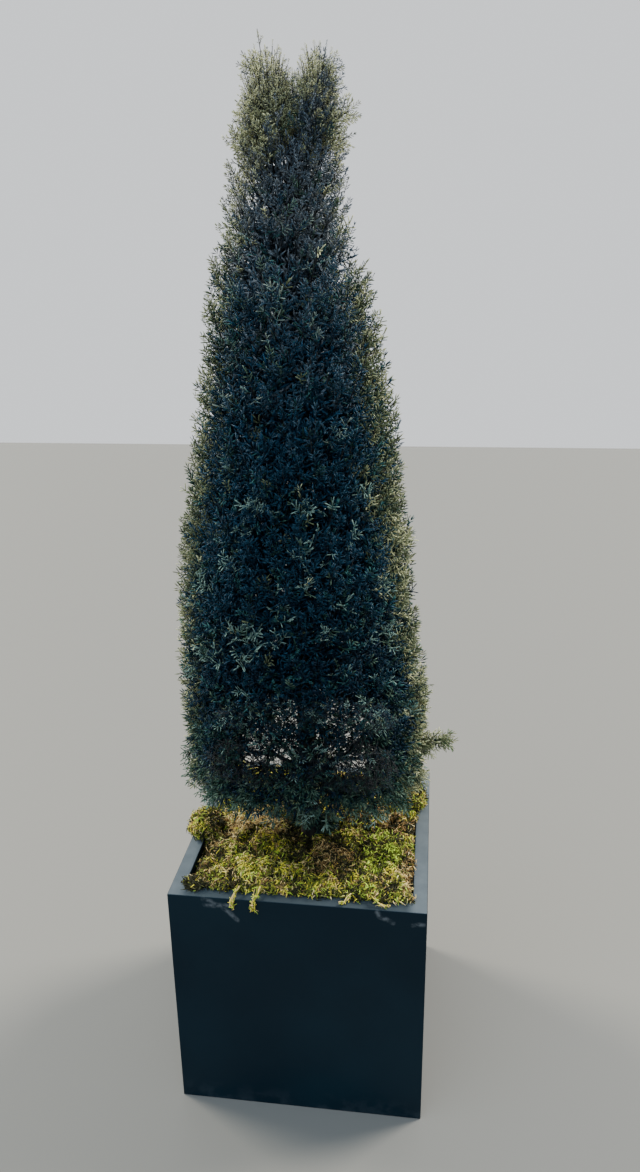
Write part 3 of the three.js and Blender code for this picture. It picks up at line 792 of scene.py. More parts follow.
def fillWindows(rng):
    limbs, sprigs = [], []
    for net in windowNets:
        count = net["twigs"]
        turn = rng.random(count) * 2 * math.pi
        off = np.sqrt(rng.random(count))
        x = net["at"][0] + net["half"][0] * off * np.cos(turn)
        z = net["at"][1] + net["half"][1] * off * np.sin(turn)
        seen = np.stack([x, np.full(count, crownFront), z], axis=1)
        depth = mix(*windowTwig["depth"], rng.random(count))
        middle = eye + (seen - eye) * (1 + depth / (crownFront - eye[1]))[:, None]
        heading = headingAt(-math.pi / 2 + rng.normal(0, 1.0, count), rng.normal(*windowTwig["climb"], count))
        length = windowTwig["length"] * (0.4 + 0.9 * rng.random(count))[:, None]
        starts, ends = middle - heading * length * 0.5, middle + heading * length * 0.5
        bend = middle + rng.normal(0, 4, middle.shape)
        thick = taper(count, 3, windowTwig["radius"], windowTwig["radius"] * 0.7)
        limbs.append(tubes(curved(starts, bend, ends, 3), thick))
        some = net["sprigs"]
        sprigs.append({
            "base": starts[:some], "heading": heading[:some], "size": 0.45 + 0.25 * rng.random(some),
            "roll": rng.random(some) * 2 * math.pi, "level": rng.integers(0, 2, some),
        })
    return limbs, toneSprigs(joinArrays(sprigs), rng)


def fitSprigs(sprigs, rng):  # the clip: a sprig that would stand out is shortened, or left out
    for lastTry in (False, True):
        tip = sprigs["base"] + sprigs["heading"] * (growth["sprigReach"] * sprigs["size"])[:, None]
        out = -surfaceDepth(tip) > growth["fuzz"] * rng.random(len(tip))
        if lastTry:
            return chosenRows(sprigs, ~out)
        sprigs["size"] = np.where(out, sprigs["size"] * 0.7, sprigs["size"])


def lightAt(base):  # how near the tip, how far into the light at the sides, and how far behind a point is
    high = smooth(*toning["pale"], base[:, 2])
    turn = np.degrees(np.arctan2(base[:, 1], base[:, 0] + toning["middle"]))
    turn = np.where(turn > 90, turn - 360, turn)
    left = np.interp(base[:, 2], toning["shadeHeights"], toning["shadeLeft"])
    right = np.interp(base[:, 2], toning["shadeHeights"], toning["shadeRight"])
    side = smooth(-1, 1, np.maximum(turn - right, left - turn) / toning["shadeEdge"])
    return high, side, smooth(*toning["behind"], np.abs(turn + 90))


def dealFamilies(base, rng):  # each later family takes its share of the sprigs from the ones before
    high, side, behind = lightAt(base)
    lit = 1 - toning["dim"] * behind
    peaks = np.maximum(high * (0.09 + 0.91 * side), 0.95 * smooth(*toning["peaks"], base[:, 2]))
    shares = [(word, smooth(*limits, base[:, 2])) for word, limits in toning["bands"].items()]
    shares += [
        ("low", np.maximum(0.1, behind * (1 - toning["dim"] * high))),
        ("hem", 0.85 * (1 - smooth(*toning["hem"], base[:, 2]))),
        ("side", side * (1 - 0.85 * behind) + 0.02),
        ("tip", lit * peaks),
        ("crest", 0.7 * smooth(*toning["cool"], base[:, 0]) * high),
    ]
    family = np.full(len(base), toneFamilies["low"])
    for word, share in shares:
        family = np.where(rng.random(len(base)) < share, toneFamilies[word], family)
    return family


def toneSprigs(sprigs, rng):  # gives each sprig its tone and form
    base, level = sprigs["base"], sprigs["level"]
    count = len(base)
    high, side, behind = lightAt(base)
    dealt = dealFamilies(base, rng)
    family = sprigs.pop("tones", dealt)
    chance = rng.random((3, count))
    lit = sprigs.pop("lit", chance[0])
    light = np.maximum(side, high) * (1 - toning["dim"] * behind)
    # painted light: the hem takes the tones of lit sprigs, though the crown shades it
    light = np.maximum(light, 0.9 * (1 - smooth(*toning["hem"], base[:, 2])))
    pale = (lit < mix(*toning["litShares"], light)) & (chance[0] < mix(*toning["paleShares"], light))
    half = (chance[1] < mix(*toning["halfShares"], light)) & (lit < 0.9) & (level < 2)
    plain = chance[2] < mix(*toning["plainShares"], light)
    tone = family + np.where(pale & (level == 0), brightest, np.where(half, 2 + (chance[0] < 0.4), plain))
    # painted haze light: sprigs deep inside take the inside tones, brighter and greyer with height
    inside = np.interp(base[:, 2], toning["insideHeights"], range(brightest + 1)) + chance[1] - 0.5
    inside = toneFamilies["inside"] + np.clip(np.round(inside), 0, brightest)
    sprigs["tone"] = np.where(level == 2, inside.astype(int), tone)
    slender = rng.random(count) < smooth(*toning["feather"], base[:, 2])
    sprigs["size"] = np.where(slender, toning["slender"] * sprigs["size"], sprigs["size"])
    kinds = {word: rng.integers(*limits, count) for word, limits in formRanges.items()}
    form = np.choose(level, [kinds["antler"], kinds["shaded"], kinds["coarse"]])
    sprigs["form"] = np.where(slender & (level < 2), kinds["feather"], form)
    return sprigs


def nearestParent(children, headings, parents):  # near, and behind the child's own heading
    away = children[:, None] - parents[None]
    distance = np.linalg.norm(away, axis=2)
    ahead = np.einsum("npc,nc->np", away, headings) / np.maximum(distance, tiny)
    return np.argmin(distance * (2.2 - ahead), axis=1)


def sectorLimbs(tier, span, rng, sprays):  # stem, fork, boughs and twigs, each grown on from the one before
    middle, width = (span[0] + span[1]) / 2, span[1] - span[0]
    core = tier["inner"]
    _, radius, _, _ = outline(tier, middle, 0.5)
    end = crownPoint(tier, middle, 0.5, radius - core - 12)
    start = trunkAxis(np.array(end[2] - (core - 12) * 0.7))
    if core < 50:  # too narrow for a fork
        ends = end[None]
        parts = [tubes(curved(start[None], (start + end)[None] / 2, ends, 4), taper(1, 4, 5.0, 3.0), 5)]
    else:
        fork = mix(start, end, 0.45)
        turns = middle + np.array([-1, 1]) * width * 0.25
        ends = crownPoint(tier, turns, 0.35 + 0.3 * rng.random(2), radius - core - 14)
        bend = mix(fork, ends, 0.5) - [0, 0, 8]
        forked = curved(np.repeat(fork[None], 2, 0), bend, ends, 4)
        parts = [
            tubes(np.stack([start, fork])[None], taper(1, 2, 5.0, 4.0), 5),
            tubes(forked, taper(2, 4, 3.8, 2.6), 5),
        ]
    count = max(6, len(sprays["root"]) // growth["boughEvery"])
    i = np.arange(count)
    turns = mix(*span, (0.5 + i * evenAcross) % 1)
    climbing = (0.5 + i * evenUp) % 1
    deepest = min(radius - core - 10, growth["deepestBough"])
    depth = mix(tier["stand"] + 42, deepest, rng.random(count))
    knots = crownPoint(tier, turns, climbing - 0.12, depth)
    headings = headingAt(turns, 40 + 15 * rng.random(count))
    carriers = ends[nearestParent(knots, headings, ends)]
    bend = mix(carriers, knots, 0.5) - np.stack([0 * i, 0 * i, 6 + 10 * rng.random(count)], axis=1)
    parts.append(tubes(curved(carriers, bend, knots, 6), taper(count, 6, 2.4, 1.5), 4))
    roots, out = sprays["root"], sprays["heading"]
    chosen = knots[nearestParent(roots, out, knots)]
    gap = np.linalg.norm(roots - chosen, axis=1)[:, None]
    twigs = curved(chosen, roots - out * gap * 0.45, roots, 5)
    parts.append(tubes(twigs, taper(len(roots), 5, 1.3, 0.95)))
    tips = roots + out * np.maximum(sprays["length"] - growth["sprigReach"], 8)[:, None]
    parts.append(tubes(np.stack([roots, tips], axis=1), taper(len(roots), 2, 0.95, 0.6)))
    return parts


def growShoots(mass, rng):  # a limb and its sprigs for each shoot of a mass
    for shoot in shoots:
        if shoot["mass"] == mass:
            start, end = np.array(shoot["from"], float), np.array(shoot["to"], float)
            heading = unit(end - start)
            stop = end - heading * 24
            limb = tubes(np.stack([start, stop])[None], taper(1, 2, 1.9, 0.8), 4)
            count = shoot["sprigs"]
            share = np.linspace(0.3, 1.0, count)
            size = np.where(share < 1, 0.85 + 0.3 * rng.random(count), 0.95)
            along = heading * (np.linalg.norm(stop - start) * share)[:, None]
            lean = np.where(share < 1, 44, 3)
            sprigs = {
                "base": start + along - heading * 4,
                "heading": unit(leaning(heading[None], np.arange(count) * goldenTurn, lean)),
                "size": size * min(1, np.linalg.norm(end - start) / 60 + 0.3),
                "roll": rng.random(count) * 2 * math.pi,
                "level": np.zeros(count, int),
                "tones": np.full(count, toneFamilies[shoot["tones"]]),
            }
            yield limb, sprigs


leafFinishes = [leafFinish("leaf_" + word, colour) for word, colour in leafColours.items()]
# painted shade: the twigs are near black and cool blue, as they lie in the crown's shade
twigShadeFinish = barkFinish("twigShadeFinish", (0.003, 0.005, 0.007), (0.012, 0.015, 0.018))


def growTier(level, tier):
    limbs = []
    radii = [outline(tier, 0.0, share)[1] for share in (0.0, 1.0)]
    area = 2 * math.pi * sum(radii) / 2 * (tier["head"] - tier["foot"]) / len(tier["sectors"])
    density = growth["skirtDensity"] if tier is tiers[0] else 1
    count = int(area * mm * mm * growth["spraysPerArea"] * density)
    masses = [f"{tier['name']}_{word}" for word in tier["sectors"]]
    nodes = ["foliage_" + mass for mass in masses]
    for number, sectors in enumerate((range(0, 2), range(2, len(nodes))), 1):  # two pieces of leaves a tier
        sprigs = []
        if tier is tiers[0] and number == 2:
            net, extra = fillWindows(np.random.default_rng(301))
            limbs += net
            sprigs.append(extra)
        for sector in sectors:
            rng = np.random.default_rng(100 + 10 * level + sector)
            span = sectorSpan(tier, sector)
            layers = growth["innerLayers"][:1 if tier["inner"] >= growth["wideTier"] else 2]
            sprays = [sectorSprays(tier, span, rng, count)]
            sprays += [sectorSprays(tier, span, rng, int(count * share), deeper) for deeper, share in layers]
            sprays = joinArrays(sprays)
            limbs += sectorLimbs(tier, span, rng, sprays)
            sprigs.append(toneSprigs(fitSprigs(sprigsOn(sprays, rng), rng), rng))
            for limb, extra in growShoots(masses[sector], rng):
                limbs.append(limb)
                sprigs.append(toneSprigs(extra, rng))
        leaves = joinedPiece(f"{tier['name']}_leaves_{number}", placeSprigs(joinArrays(sprigs)), leafFinishes)
        settle(leaves, [nodes[sector] for sector in sectors])
    settle(joinedPiece(tier["name"] + "_twigs", limbs, [twigShadeFinish]), nodes)


# Plumes: slender strands that fan out of each leader's tip, with feathery sprigs along them
def growPlume(number, plume, leader):
    rng = np.random.default_rng(200 + number)
    count = plume["strands"]
    climbing = mix(-0.95, 0.97, (np.arange(count) + 0.5) / count)
    turn = np.arange(count) * goldenTurn + 0.4 * rng.random(count)
    flat = np.sqrt(1 - climbing ** 2)
    around = np.stack([np.cos(turn) * flat, np.sin(turn) * flat, climbing], axis=1)
    at, half = np.array(plume["at"], float), np.array(plume["half"], float)
    heading = headingAt(turn, mix(*plumeHabit["climb"], (climbing + 1) / 2))
    stand = plumeHabit["stand"] * (0.4 + 0.6 * np.maximum(climbing, 0) + 0.6 * rng.random(count))
    tip = at + around * half + heading * stand[:, None]
    tip[-1] = plume["top"]
    heading[-1] = unit(tip[-1] - at)
    tip[:, 2] = np.minimum(tip[:, 2], plume["top"][2] - 3 * rng.random(count))
    root = np.array(leader["tip"], float) + rng.normal(0, plumeHabit["rootSpread"], (count, 3))
    root[:, 2] -= 12 + 46 * np.maximum(-climbing, 0)
    bend = tip - heading * (np.linalg.norm(tip - root, axis=1) * 0.55)[:, None]
    stations = plumeHabit["stations"]
    paths = curved(root, bend, tip - heading * 9, stations)
    limbs = [tubes(paths, taper(count, stations, *plumeHabit["radii"]))]
    sprigs = []
    for station in range(2, stations):
        last = station == stations - 1
        along = unit(paths[:, station] - paths[:, station - 1])
        for side in range(1 if last else 2):
            place = (station * 2 + side) * goldenTurn + turn
            sprigs.append({
                "base": paths[:, station] - along * 3,
                "heading": unit(leaning(along, place, 4 if last else 30 + 16 * rng.random(count))),
                "size": np.full(count, 0.45) if last else 0.56 + 0.34 * rng.random(count),
                "roll": rng.random(count) * 2 * math.pi,
                "level": np.zeros(count, int),
            })
    sprigs = joinArrays(sprigs)
    reach = sprigs["base"] + sprigs["heading"] * (33 * sprigs["size"])[:, None]
    inside = (((reach - at) / (half + plumeHabit["edge"])) ** 2).sum(axis=1) < 1.25
    sprigs = chosenRows(sprigs, inside & (reach[:, 2] < plume["top"][2] + 1))
    inner = (((sprigs["base"] - at) / half) ** 2).sum(axis=1) < 0.3
    sprigs["level"][inner] = 1
    for limb, extra in growShoots("plume_" + plume["name"], rng):
        limbs.append(limb)
        extra.pop("tones")
        sprigs = joinArrays([sprigs, extra])
    sprigs = toneSprigs(sprigs, rng)
    sprigs["form"] = rng.integers(*formRanges["feather"], len(sprigs["base"]))
    node = "foliage_plume_" + plume["name"]
    settle(joinedPiece("plume_twigs_" + plume["name"], limbs, [twigShadeFinish]), [node])
    leaves = joinedPiece("plume_leaves_" + plume["name"], placeSprigs(sprigs), leafFinishes)
    settle(leaves, [node])


def growFoot():  # short twigs round the trunk, between the moss and the crown
    rng = np.random.default_rng(71)
    count = foot["sprigs"]
    i = np.arange(count)
    turn = i * goldenTurn
    height = mix(foot["bottom"] + 2, foot["top"] + 6, (i * 0.618) % 1)
    climb = mix(*foot["climb"], rng.random(count))
    around = np.stack([foot["start"] * np.cos(turn), foot["start"] * np.sin(turn), 0 * turn], axis=1)
    start = trunkAxis(height) + around
    heading = headingAt(turn, climb)
    size = 0.75 + 0.3 * rng.random(count)
    base = start + heading * (foot["reach"] - 16 - 30 * size * np.cos(np.radians(climb)))[:, None]
    sprigs = {"base": base, "heading": heading, "size": size, "roll": rng.random(count) * 6.3,
              "level": rng.integers(0, 2, count), "tones": np.full(count, toneFamilies["low"])}
    limbs = [tubes(np.stack([start, base + heading], axis=1), taper(count, 2, *foot["radii"]))]
    nodes = ["foliage_foot_front", "foliage_foot_back"]
    settle(joinedPiece("foot_twigs", limbs, [twigShadeFinish]), nodes)
    leaves = joinedPiece("foot_leaves", placeSprigs(toneSprigs(sprigs, rng)), leafFinishes)
    settle(leaves, nodes)


# Trunk and leaders, with the bark's long fibrous ridges in the mesh
bark = {
    "trunk": {"sides": 48, "step": 7.0, "depth": 1.5},
    "leader": {"sides": 14, "step": 5.0, "depth": 0.5},
    "under": 0.6,  # how far the trunk's bark lies under the source's radius
    "ridge": 1.5, "lump": 1.4,  # how high the ridges and the wider lumps of a thick limb stand
    "ridgeTurn": 2.2, "ridgeRise": 0.0045, "ridgesRound": 9.0,
    "lumpRise": 0.012,
    "plain": 0.5,  # how much at each end has no relief
}


def barkedLimb(name, axisAt, radiusAt, bottom, top, kind, node):
    shape = bmesh.new()
    ring = bmesh.ops.create_circle(
        shape, cap_ends=True, segments=kind["sides"], radius=radiusAt(bottom) * mm
    )["verts"]
    bmesh.ops.translate(shape, verts=ring, vec=Vector(axisAt(bottom)) * mm)
    face = shape.faces[:][0]
    heights = np.linspace(bottom, top, max(3, int((top - bottom) / kind["step"])))
    for before, height in zip(heights[:-1], heights[1:]):
        grown = bmesh.ops.extrude_face_region(shape, geom=[face])["geom"]
        if before != heights[0]:
            bmesh.ops.delete(shape, geom=[face], context="FACES_ONLY")
        face = next(part for part in grown if isinstance(part, bmesh.types.BMFace))
        middle = Vector(axisAt(before)) * mm
        factor = radiusAt(height) / radiusAt(before)
        bmesh.ops.scale(shape, verts=face.verts, vec=(factor, factor, 1), space=Matrix.Translation(-middle))
        bmesh.ops.translate(shape, verts=face.verts, vec=Vector(axisAt(height)) * mm - middle)
    for vert in shape.verts:
        height = vert.co.z / mm
        out = vert.co - Vector(axisAt(height)) * mm
        out.z = 0
        plain = min(abs(height - bottom), abs(height - top)) < bark["plain"]
        if out.length < tiny or plain:
            continue
        turn = math.atan2(out.y, out.x)
        across = bark["ridgeTurn"]
        around = Vector((math.cos(turn) * across, math.sin(turn) * across, height * bark["ridgeRise"]))
        ridge = abs(noise.noise(around * bark["ridgesRound"] / 4)) * 2 - 0.5
        lump = noise.noise(Vector((math.cos(turn), math.sin(turn), height * bark["lumpRise"])))
        high = kind["depth"] * ridge + bark["lump"] * lump * kind["depth"] / bark["ridge"]
        vert.co += out.normalized() * high * mm
    settle(pieceFrom(shape, name, [barkFinish(name + "Finish")], smoothed=True), [node])


def makeTrunk():
    shares, radii = zip(*trunkShape["radii"])
    bottom, top = trunkShape["foot"], trunkShape["fork"]

    def trunkRadius(height):
        return float(np.interp((height - bottom) / (top - bottom), shares, radii)) - bark["under"]

    def trunkMiddle(height):
        return [float(value) for value in trunkAxis(np.array(float(height)))]

    barkedLimb("trunk_bark", trunkMiddle, trunkRadius, bottom, top, bark["trunk"], "trunk")
    for leader in leaders:
        turn = math.radians(leader["turn"])
        aside = Vector((math.cos(turn), math.sin(turn), 0)) * leaderShape["spacing"]
        start = Vector(trunkMiddle(top)) + aside
        end = Vector(leader["tip"])

        def share(height, start=start, end=end):
            return (height - start.z) / (end.z - start.z)

        def leaderMiddle(height, start=start, end=end, share=share):
            return start.lerp(end, share(height))

        def leaderRadius(height, share=share):
            return mix(leaderShape["radius"], leaderShape["tipRadius"], share(height))

        barkedLimb("leader_bark_" + leader["name"], leaderMiddle, leaderRadius,
                   start.z + leaderShape["gap"], end.z, bark["leader"], "leader_" + leader["name"])


# Planter
planter = {
    "width": 457, "height": 470, "wall": 26, "edge": 1.6, "edgeSteps": 3, "specular": 0.1,
    "dark": (0.0031, 0.0140, 0.0235), "light": (0.0052, 0.0200, 0.0310),
    # the pale grey on the rims is dust with a painted reflection of the bright room
    "dustAndSheen": (0.140, 0.168, 0.188), "scuff": (0.150, 0.170, 0.185),
    "roughness": (0.34, 0.5), "dustRoughness": 0.25,
    # Rubbed lines on the front face, as x and z
    "marks": [
        [(-163, 466), (-148, 462), (-139, 455)],
        [(-161, 453), (-141, 454), (-118, 456)],
        [(-130, 453), (-118, 440), (-103, 426)],
        [(143, 466), (147, 457), (156, 452)],
        [(158, 454), (170, 446)],
        [(205, 444), (222, 447)],
    ],
    "markWidth": 6.5,
    "rimShares": (0.34, 0.95),  # how much dust and painted reflection the front rim and the side rims take; the side rims' larger share is painted reflection of the bright room
    "sideRim": (0.19, 0.212),  # metres from the middle between which the front rim turns to a side rim
    "lowDust": (0.05, 0.10),  # how many metres up it ends, and how dusty it is on the floor
}


def planterMarks(tree, coordinates):
    front = -planter["width"] / 2 * mm
    marks = None
    for line in planter["marks"]:
        for (fromX, fromZ), (toX, toZ) in zip(line[:-1], line[1:]):
            ends = {"From": (fromX * mm, front, fromZ * mm), "To": (toX * mm, front, toZ * mm)}
            values = {**ends, "Width": planter["markWidth"] * mm, "Vector": coordinates}
            mask = addNode(tree, "ShaderNodeGroup", values, node_tree=rubbedLine).outputs["Mask"]
            marks = mathNode(tree, "MAXIMUM", marks, mask) if marks else mask
    broken = rangeNode(tree, noiseNode(tree, coordinates, 130.0, 4.0), 0.32, 0.62, 0.1, 0.75)
    return mathNode(tree, "MULTIPLY", marks, broken)


def planterDustAndSheen(tree, coordinates):  # dust and a painted reflection of the bright room on the rims' tops, and a little dust at the foot
    place = addNode(tree, "ShaderNodeSeparateXYZ", {"Vector": coordinates}).outputs
    normal = addNode(tree, "ShaderNodeNewGeometry").outputs["Normal"]
    normal = addNode(tree, "ShaderNodeSeparateXYZ", {"Vector": normal}).outputs
    specks = noiseNode(tree, coordinates, 38.0, 8.0)
    upward = rangeNode(tree, normal["Z"], 0.9, 0.99)
    aside = mathNode(tree, "ABSOLUTE", place["X"])
    # painted reflection: the side rims take far more of the pale grey than the front rim
    side = rangeNode(tree, aside, *planter["sideRim"], *planter["rimShares"])
    rimDustAndSheen = mathNode(tree, "MULTIPLY", upward, rangeNode(tree, specks, 0.2, 0.8, 0.75, 1.0))
    rimDustAndSheen = mathNode(tree, "MULTIPLY", rimDustAndSheen, side)
    reach, share = planter["lowDust"]
    low = rangeNode(tree, place["Z"], 0.0, reach, share, 0.0)
    low = mathNode(tree, "MULTIPLY", low, rangeNode(tree, specks, 0.45, 0.65))
    return mathNode(tree, "ADD", rimDustAndSheen, low, clamp=True)


def planterFinish():
    finish, tree, shader = newFinish("planterFinish", planter["dark"], 0.42)
    shader.inputs["Specular IOR Level"].default_value = planter["specular"]
    coordinates = objectCoordinates(tree)
    clouds = noiseNode(tree, coordinates, 4.0, 5.0)
    colour = colourMix(tree, rangeNode(tree, clouds, 0.35, 0.7), planter["dark"], planter["light"])
    # dust and a painted reflection: the rims' tops turn pale grey
    dustAndSheen = planterDustAndSheen(tree, coordinates)
    colour = colourMix(tree, dustAndSheen, colour, planter["dustAndSheen"])
    colour = colourMix(tree, planterMarks(tree, coordinates), colour, planter["scuff"])
    tree.links.new(colour, shader.inputs["Base Color"])
    rough = rangeNode(tree, clouds, 0.3, 0.7, *planter["roughness"])
    rougher = mathNode(tree, "MULTIPLY", dustAndSheen, planter["dustRoughness"])
    tree.links.new(mathNode(tree, "ADD", rough, rougher, clamp=True), shader.inputs["Roughness"])
    addGrain(tree, shader, coordinates, 260.0, 0.0003, 0.25)
    return finish


def makePlanter():
    shape = bmesh.new()
    half, height, wall = planter["width"] / 2 * mm, planter["height"] * mm, planter["wall"] * mm
    bmesh.ops.create_cube(shape, size=1)
    bmesh.ops.scale(shape, verts=shape.verts, vec=(2 * half, 2 * half, height))
    bmesh.ops.translate(shape, verts=shape.verts, vec=(0, 0, height / 2))
    top = max(shape.faces, key=lambda face: face.calc_center_median().z)
    bmesh.ops.inset_region(shape, faces=[top], thickness=wall, use_even_offset=True)
    bottom = bmesh.ops.extrude_face_region(shape, geom=[top])["geom"]
    bmesh.ops.delete(shape, geom=[top], context="FACES_ONLY")
    inside = [part for part in bottom if isinstance(part, bmesh.types.BMVert)]
    bmesh.ops.translate(shape, verts=inside, vec=(0, 0, wall - height))
    bmesh.ops.bevel(shape, geom=shape.edges[:], offset=planter["edge"] * mm, segments=planter["edgeSteps"],
                    affect="EDGES", profile=0.5, material=-1)
    settle(pieceFrom(shape, "planter_shell", [planterFinish()]), ["planter"])


# Moss: a lumpy mat with many curling strands, in patches of several tones
moss = {
    "left": -202, "right": 201, "half": 202, "bottom": 431, "base": 464, "cells": 96,
    "sunk": 4,  # how far the mat, and the strands' roots, lie under the moss's surface
    "tufts": 4900, "strands": 6, "strandLength": 11.5, "strandRadius": 0.85, "clump": 37.0,
    "overRim": 260,  # tufts that lie on the front rim's inner edge
    "colours": {
        "Dark": (0.030, 0.030, 0.006), "Brown": (0.360, 0.215, 0.070), "Tan": (0.860, 0.640, 0.270),
        "Green": (0.230, 0.260, 0.022), "Bright": (0.580, 0.800, 0.070), "Yellow": (0.900, 0.780, 0.065),
        "Pale": (0.930, 0.870, 0.290), "Straw": (0.960, 0.800, 0.440),
    },
    "older": "Dark Dark Brown Dark Green Green Tan Tan",  # each colour's darker tone: its own at a strand's older end, and painted shade in the creases between clumps
    "earth": (0.025, 0.016, 0.007),  # the mat's darkest brown
    # Patches and the tones that they deal out, each over the ones before. The dark patches under the crown,
    # round the trunk's foot and in two hollows are painted shade, and the straw is partly painted sunlight
    "patches": rows(
        "at half tones",
        # painted shade: darker moss under the crown
        ((0, 60), (150, 62), "Dark Green Brown Green"),
        ((0, 150), (210, 90), "Yellow Green Yellow Tan Green"),
        # tan moss, made brighter with straw as painted sunlight
        ((-124, -20), (74, 50), "Tan Straw Straw Tan Pale"),
        ((-184, -110), (30, 52), "Green Brown Green Tan"),
        ((-91, -73), (48, 26), "Yellow Green Yellow Tan"),
        ((-95, -150), (80, 44), "Yellow Bright Yellow Pale"),
        # painted shade round the trunk's foot
        ((-10, 4), (46, 36), "Dark Green Dark Green"),
        ((48, -94), (36, 40), "Brown Tan Brown Tan"),
        ((165, 0), (34, 40), "Brown Dark Brown Tan"),
        ((141, -72), (38, 64), "Green Bright Bright Bright"),
        ((192, -137), (17, 60), "Brown Tan Tan Pale"),
        # painted shade in two hollows
        ((-9, -82), (22, 34), "Dark Dark Green Dark"),
        ((94, -88), (12, 22), "Dark Dark Brown Dark"),
    ),
    "otherwise": "Yellow Green Yellow Bright Green Tan",
    # Mounds and hollows as centre, half widths and rise
    "mounds": [
        ((-95, -158), (62, 50), 14), ((-85, -70), (44, 34), 12), ((141, -70), (52, 52), 15),
        ((120, -178), (42, 34), 6), ((-130, -14), (48, 44), 8), ((-12, -78), (30, 34), -18),
        ((92, -88), (16, 22), -16), ((0, 0), (46, 46), -12), ((-206, -122), (20, 78), -30),
        ((204, -58), (12, 30), -26), ((204, -168), (8, 36), -20),
    ],
    "spills": rows(
        "at size",
        ((-207, -30, 482), (35, 46, 23)),
        ((193, 104, 482), (30, 50, 24)),
        ((-186, -198, 472), (22, 18, 12)),
    ),
    # Strands that hang down the front face or lie on its rim, each as points from its root
    "hanging": [
        [(-104, -206, 482), (-107, -226, 478), (-108, -233, 468), (-109, -233, 456)],
        [(-100, -206, 482), (-104, -222, 480), (-112, -233, 470), (-113, -232, 461)],
        [(-68, -206, 483), (-70, -226, 479), (-71, -234, 467), (-71, -234, 456)],
        [(-64, -206, 483), (-68, -225, 479), (-74, -234, 470), (-73, -233, 459)],
        [(96, -204, 480), (92, -214, 479), (86, -222, 475), (80, -223, 474)],
        [(128, -204, 480), (138, -214, 479), (148, -220, 475), (158, -222, 474)],
    ],
    "hangingLook": {"loose": 1.6, "thick": (1.0, 1.0, 1.1, 1.5), "tufts": 3},
}
mossNames = list(moss["colours"])
mossWords = "front_left front_middle front_right left right back_left back_middle back_right"
mossNodes = ["moss_" + word for word in mossWords.split()]


def mossNumbers(words):
    return [mossNames.index(word) for word in words.split()]


olderAndShadeTones = np.array(mossNumbers(moss["older"]))


def mossClump(x, y):  # how far a place is from the middle of its small clump, and the way out of it
    at = Vector((x / moss["clump"], y / moss["clump"], 0.5))
    at += noise.noise_vector(Vector((x * 0.05, y * 0.05, 2.2))) * 0.3
    distances, points = noise.voronoi(at)
    return distances[0], (at - points[0]).xy


def mossHeight(x, y):
    big = noise.noise(Vector((x * 0.014, y * 0.014, 3.1)))
    small = noise.noise(Vector((x * 0.042, y * 0.042, 7.7)))
    fine = noise.noise(Vector((x * 0.12, y * 0.12, 1.3)))
    edge = min(x - moss["left"], moss["right"] - x, y + moss["half"], moss["half"] - y)
    hump = 1 - 0.6 * math.exp(-max(edge, 0) / 10)
    front = 6 * math.exp(-max(y + moss["half"], 0) / 30)
    dome = 19 * (1 - min(1.0, mossClump(x, y)[0] * 1.3) ** 2) - 7
    mounds = sum(
        rise * math.exp(-((x - at[0]) / half[0]) ** 2 - ((y - at[1]) / half[1]) ** 2)
        for at, half, rise in moss["mounds"]
    )
    return moss["base"] + front + (8 + 9 * big + 8 * small) * hump + mounds + dome + 2 * fine


def rootHeight(x, y):
    return mossHeight(x, y) - moss["sunk"]


def mossFinish(name, colour):
    finish, tree, shader = newFinish(name, colour, 0.8)
    addGrain(tree, shader, objectCoordinates(tree), 500.0, 0.0006, 0.5, 2.0)
    return finish


def mossMatFinish():
    colours = moss["colours"]
    finish, tree, shader = newFinish("mossMatFinish", colours["Dark"], 0.95)
    coordinates = objectCoordinates(tree)
    patches = rangeNode(tree, noiseNode(tree, coordinates, 26.0, 5.0), 0.38, 0.62)
    shade = rangeNode(tree, noiseNode(tree, coordinates, 190.0, 6.0), 0.36, 0.66)
    green = colourMix(tree, shade, colours["Dark"], colours["Green"])
    brown = colourMix(tree, shade, moss["earth"], colours["Brown"])
    tree.links.new(colourMix(tree, patches, brown, green), shader.inputs["Base Color"])
    addGrain(tree, shader, coordinates, 220.0, 0.003, 0.8)
    return finish


def makeMossMat():
    shape = bmesh.new()
    bmesh.ops.create_grid(shape, x_segments=moss["cells"], y_segments=moss["cells"], size=0.5)
    width, depth = moss["right"] - moss["left"], 2 * moss["half"]
    for vert in shape.verts:
        x = moss["left"] + (vert.co.x + 0.5) * width
        y = -moss["half"] + (vert.co.y + 0.5) * depth
        vert.co = Vector((x, y, rootHeight(x, y))) * mm
    under = bmesh.ops.extrude_face_region(shape, geom=shape.faces[:])["geom"]
    for part in under:
        if isinstance(part, bmesh.types.BMVert):
            part.co.z = moss["bottom"] * mm
    settle(pieceFrom(shape, "moss_mat", [mossMatFinish()], smoothed=True), mossNodes)


def mossTones(at, rng):
    wander = np.array([noise.noise_vector(Vector((x * 0.03, y * 0.03, 5.0)))[:2] for x, y in at[:, :2]]) * 18
    tones = rng.choice(mossNumbers(moss["otherwise"]), len(at))
    for patch in moss["patches"]:
        off = (at[:, :2] + wander - patch["at"]) / patch["half"]
        within = np.hypot(off[:, 0], off[:, 1]) < 0.85 + 0.3 * rng.random(len(at))
        tones = np.where(within, rng.choice(mossNumbers(patch["tones"]), len(at)), tones)
    return tones


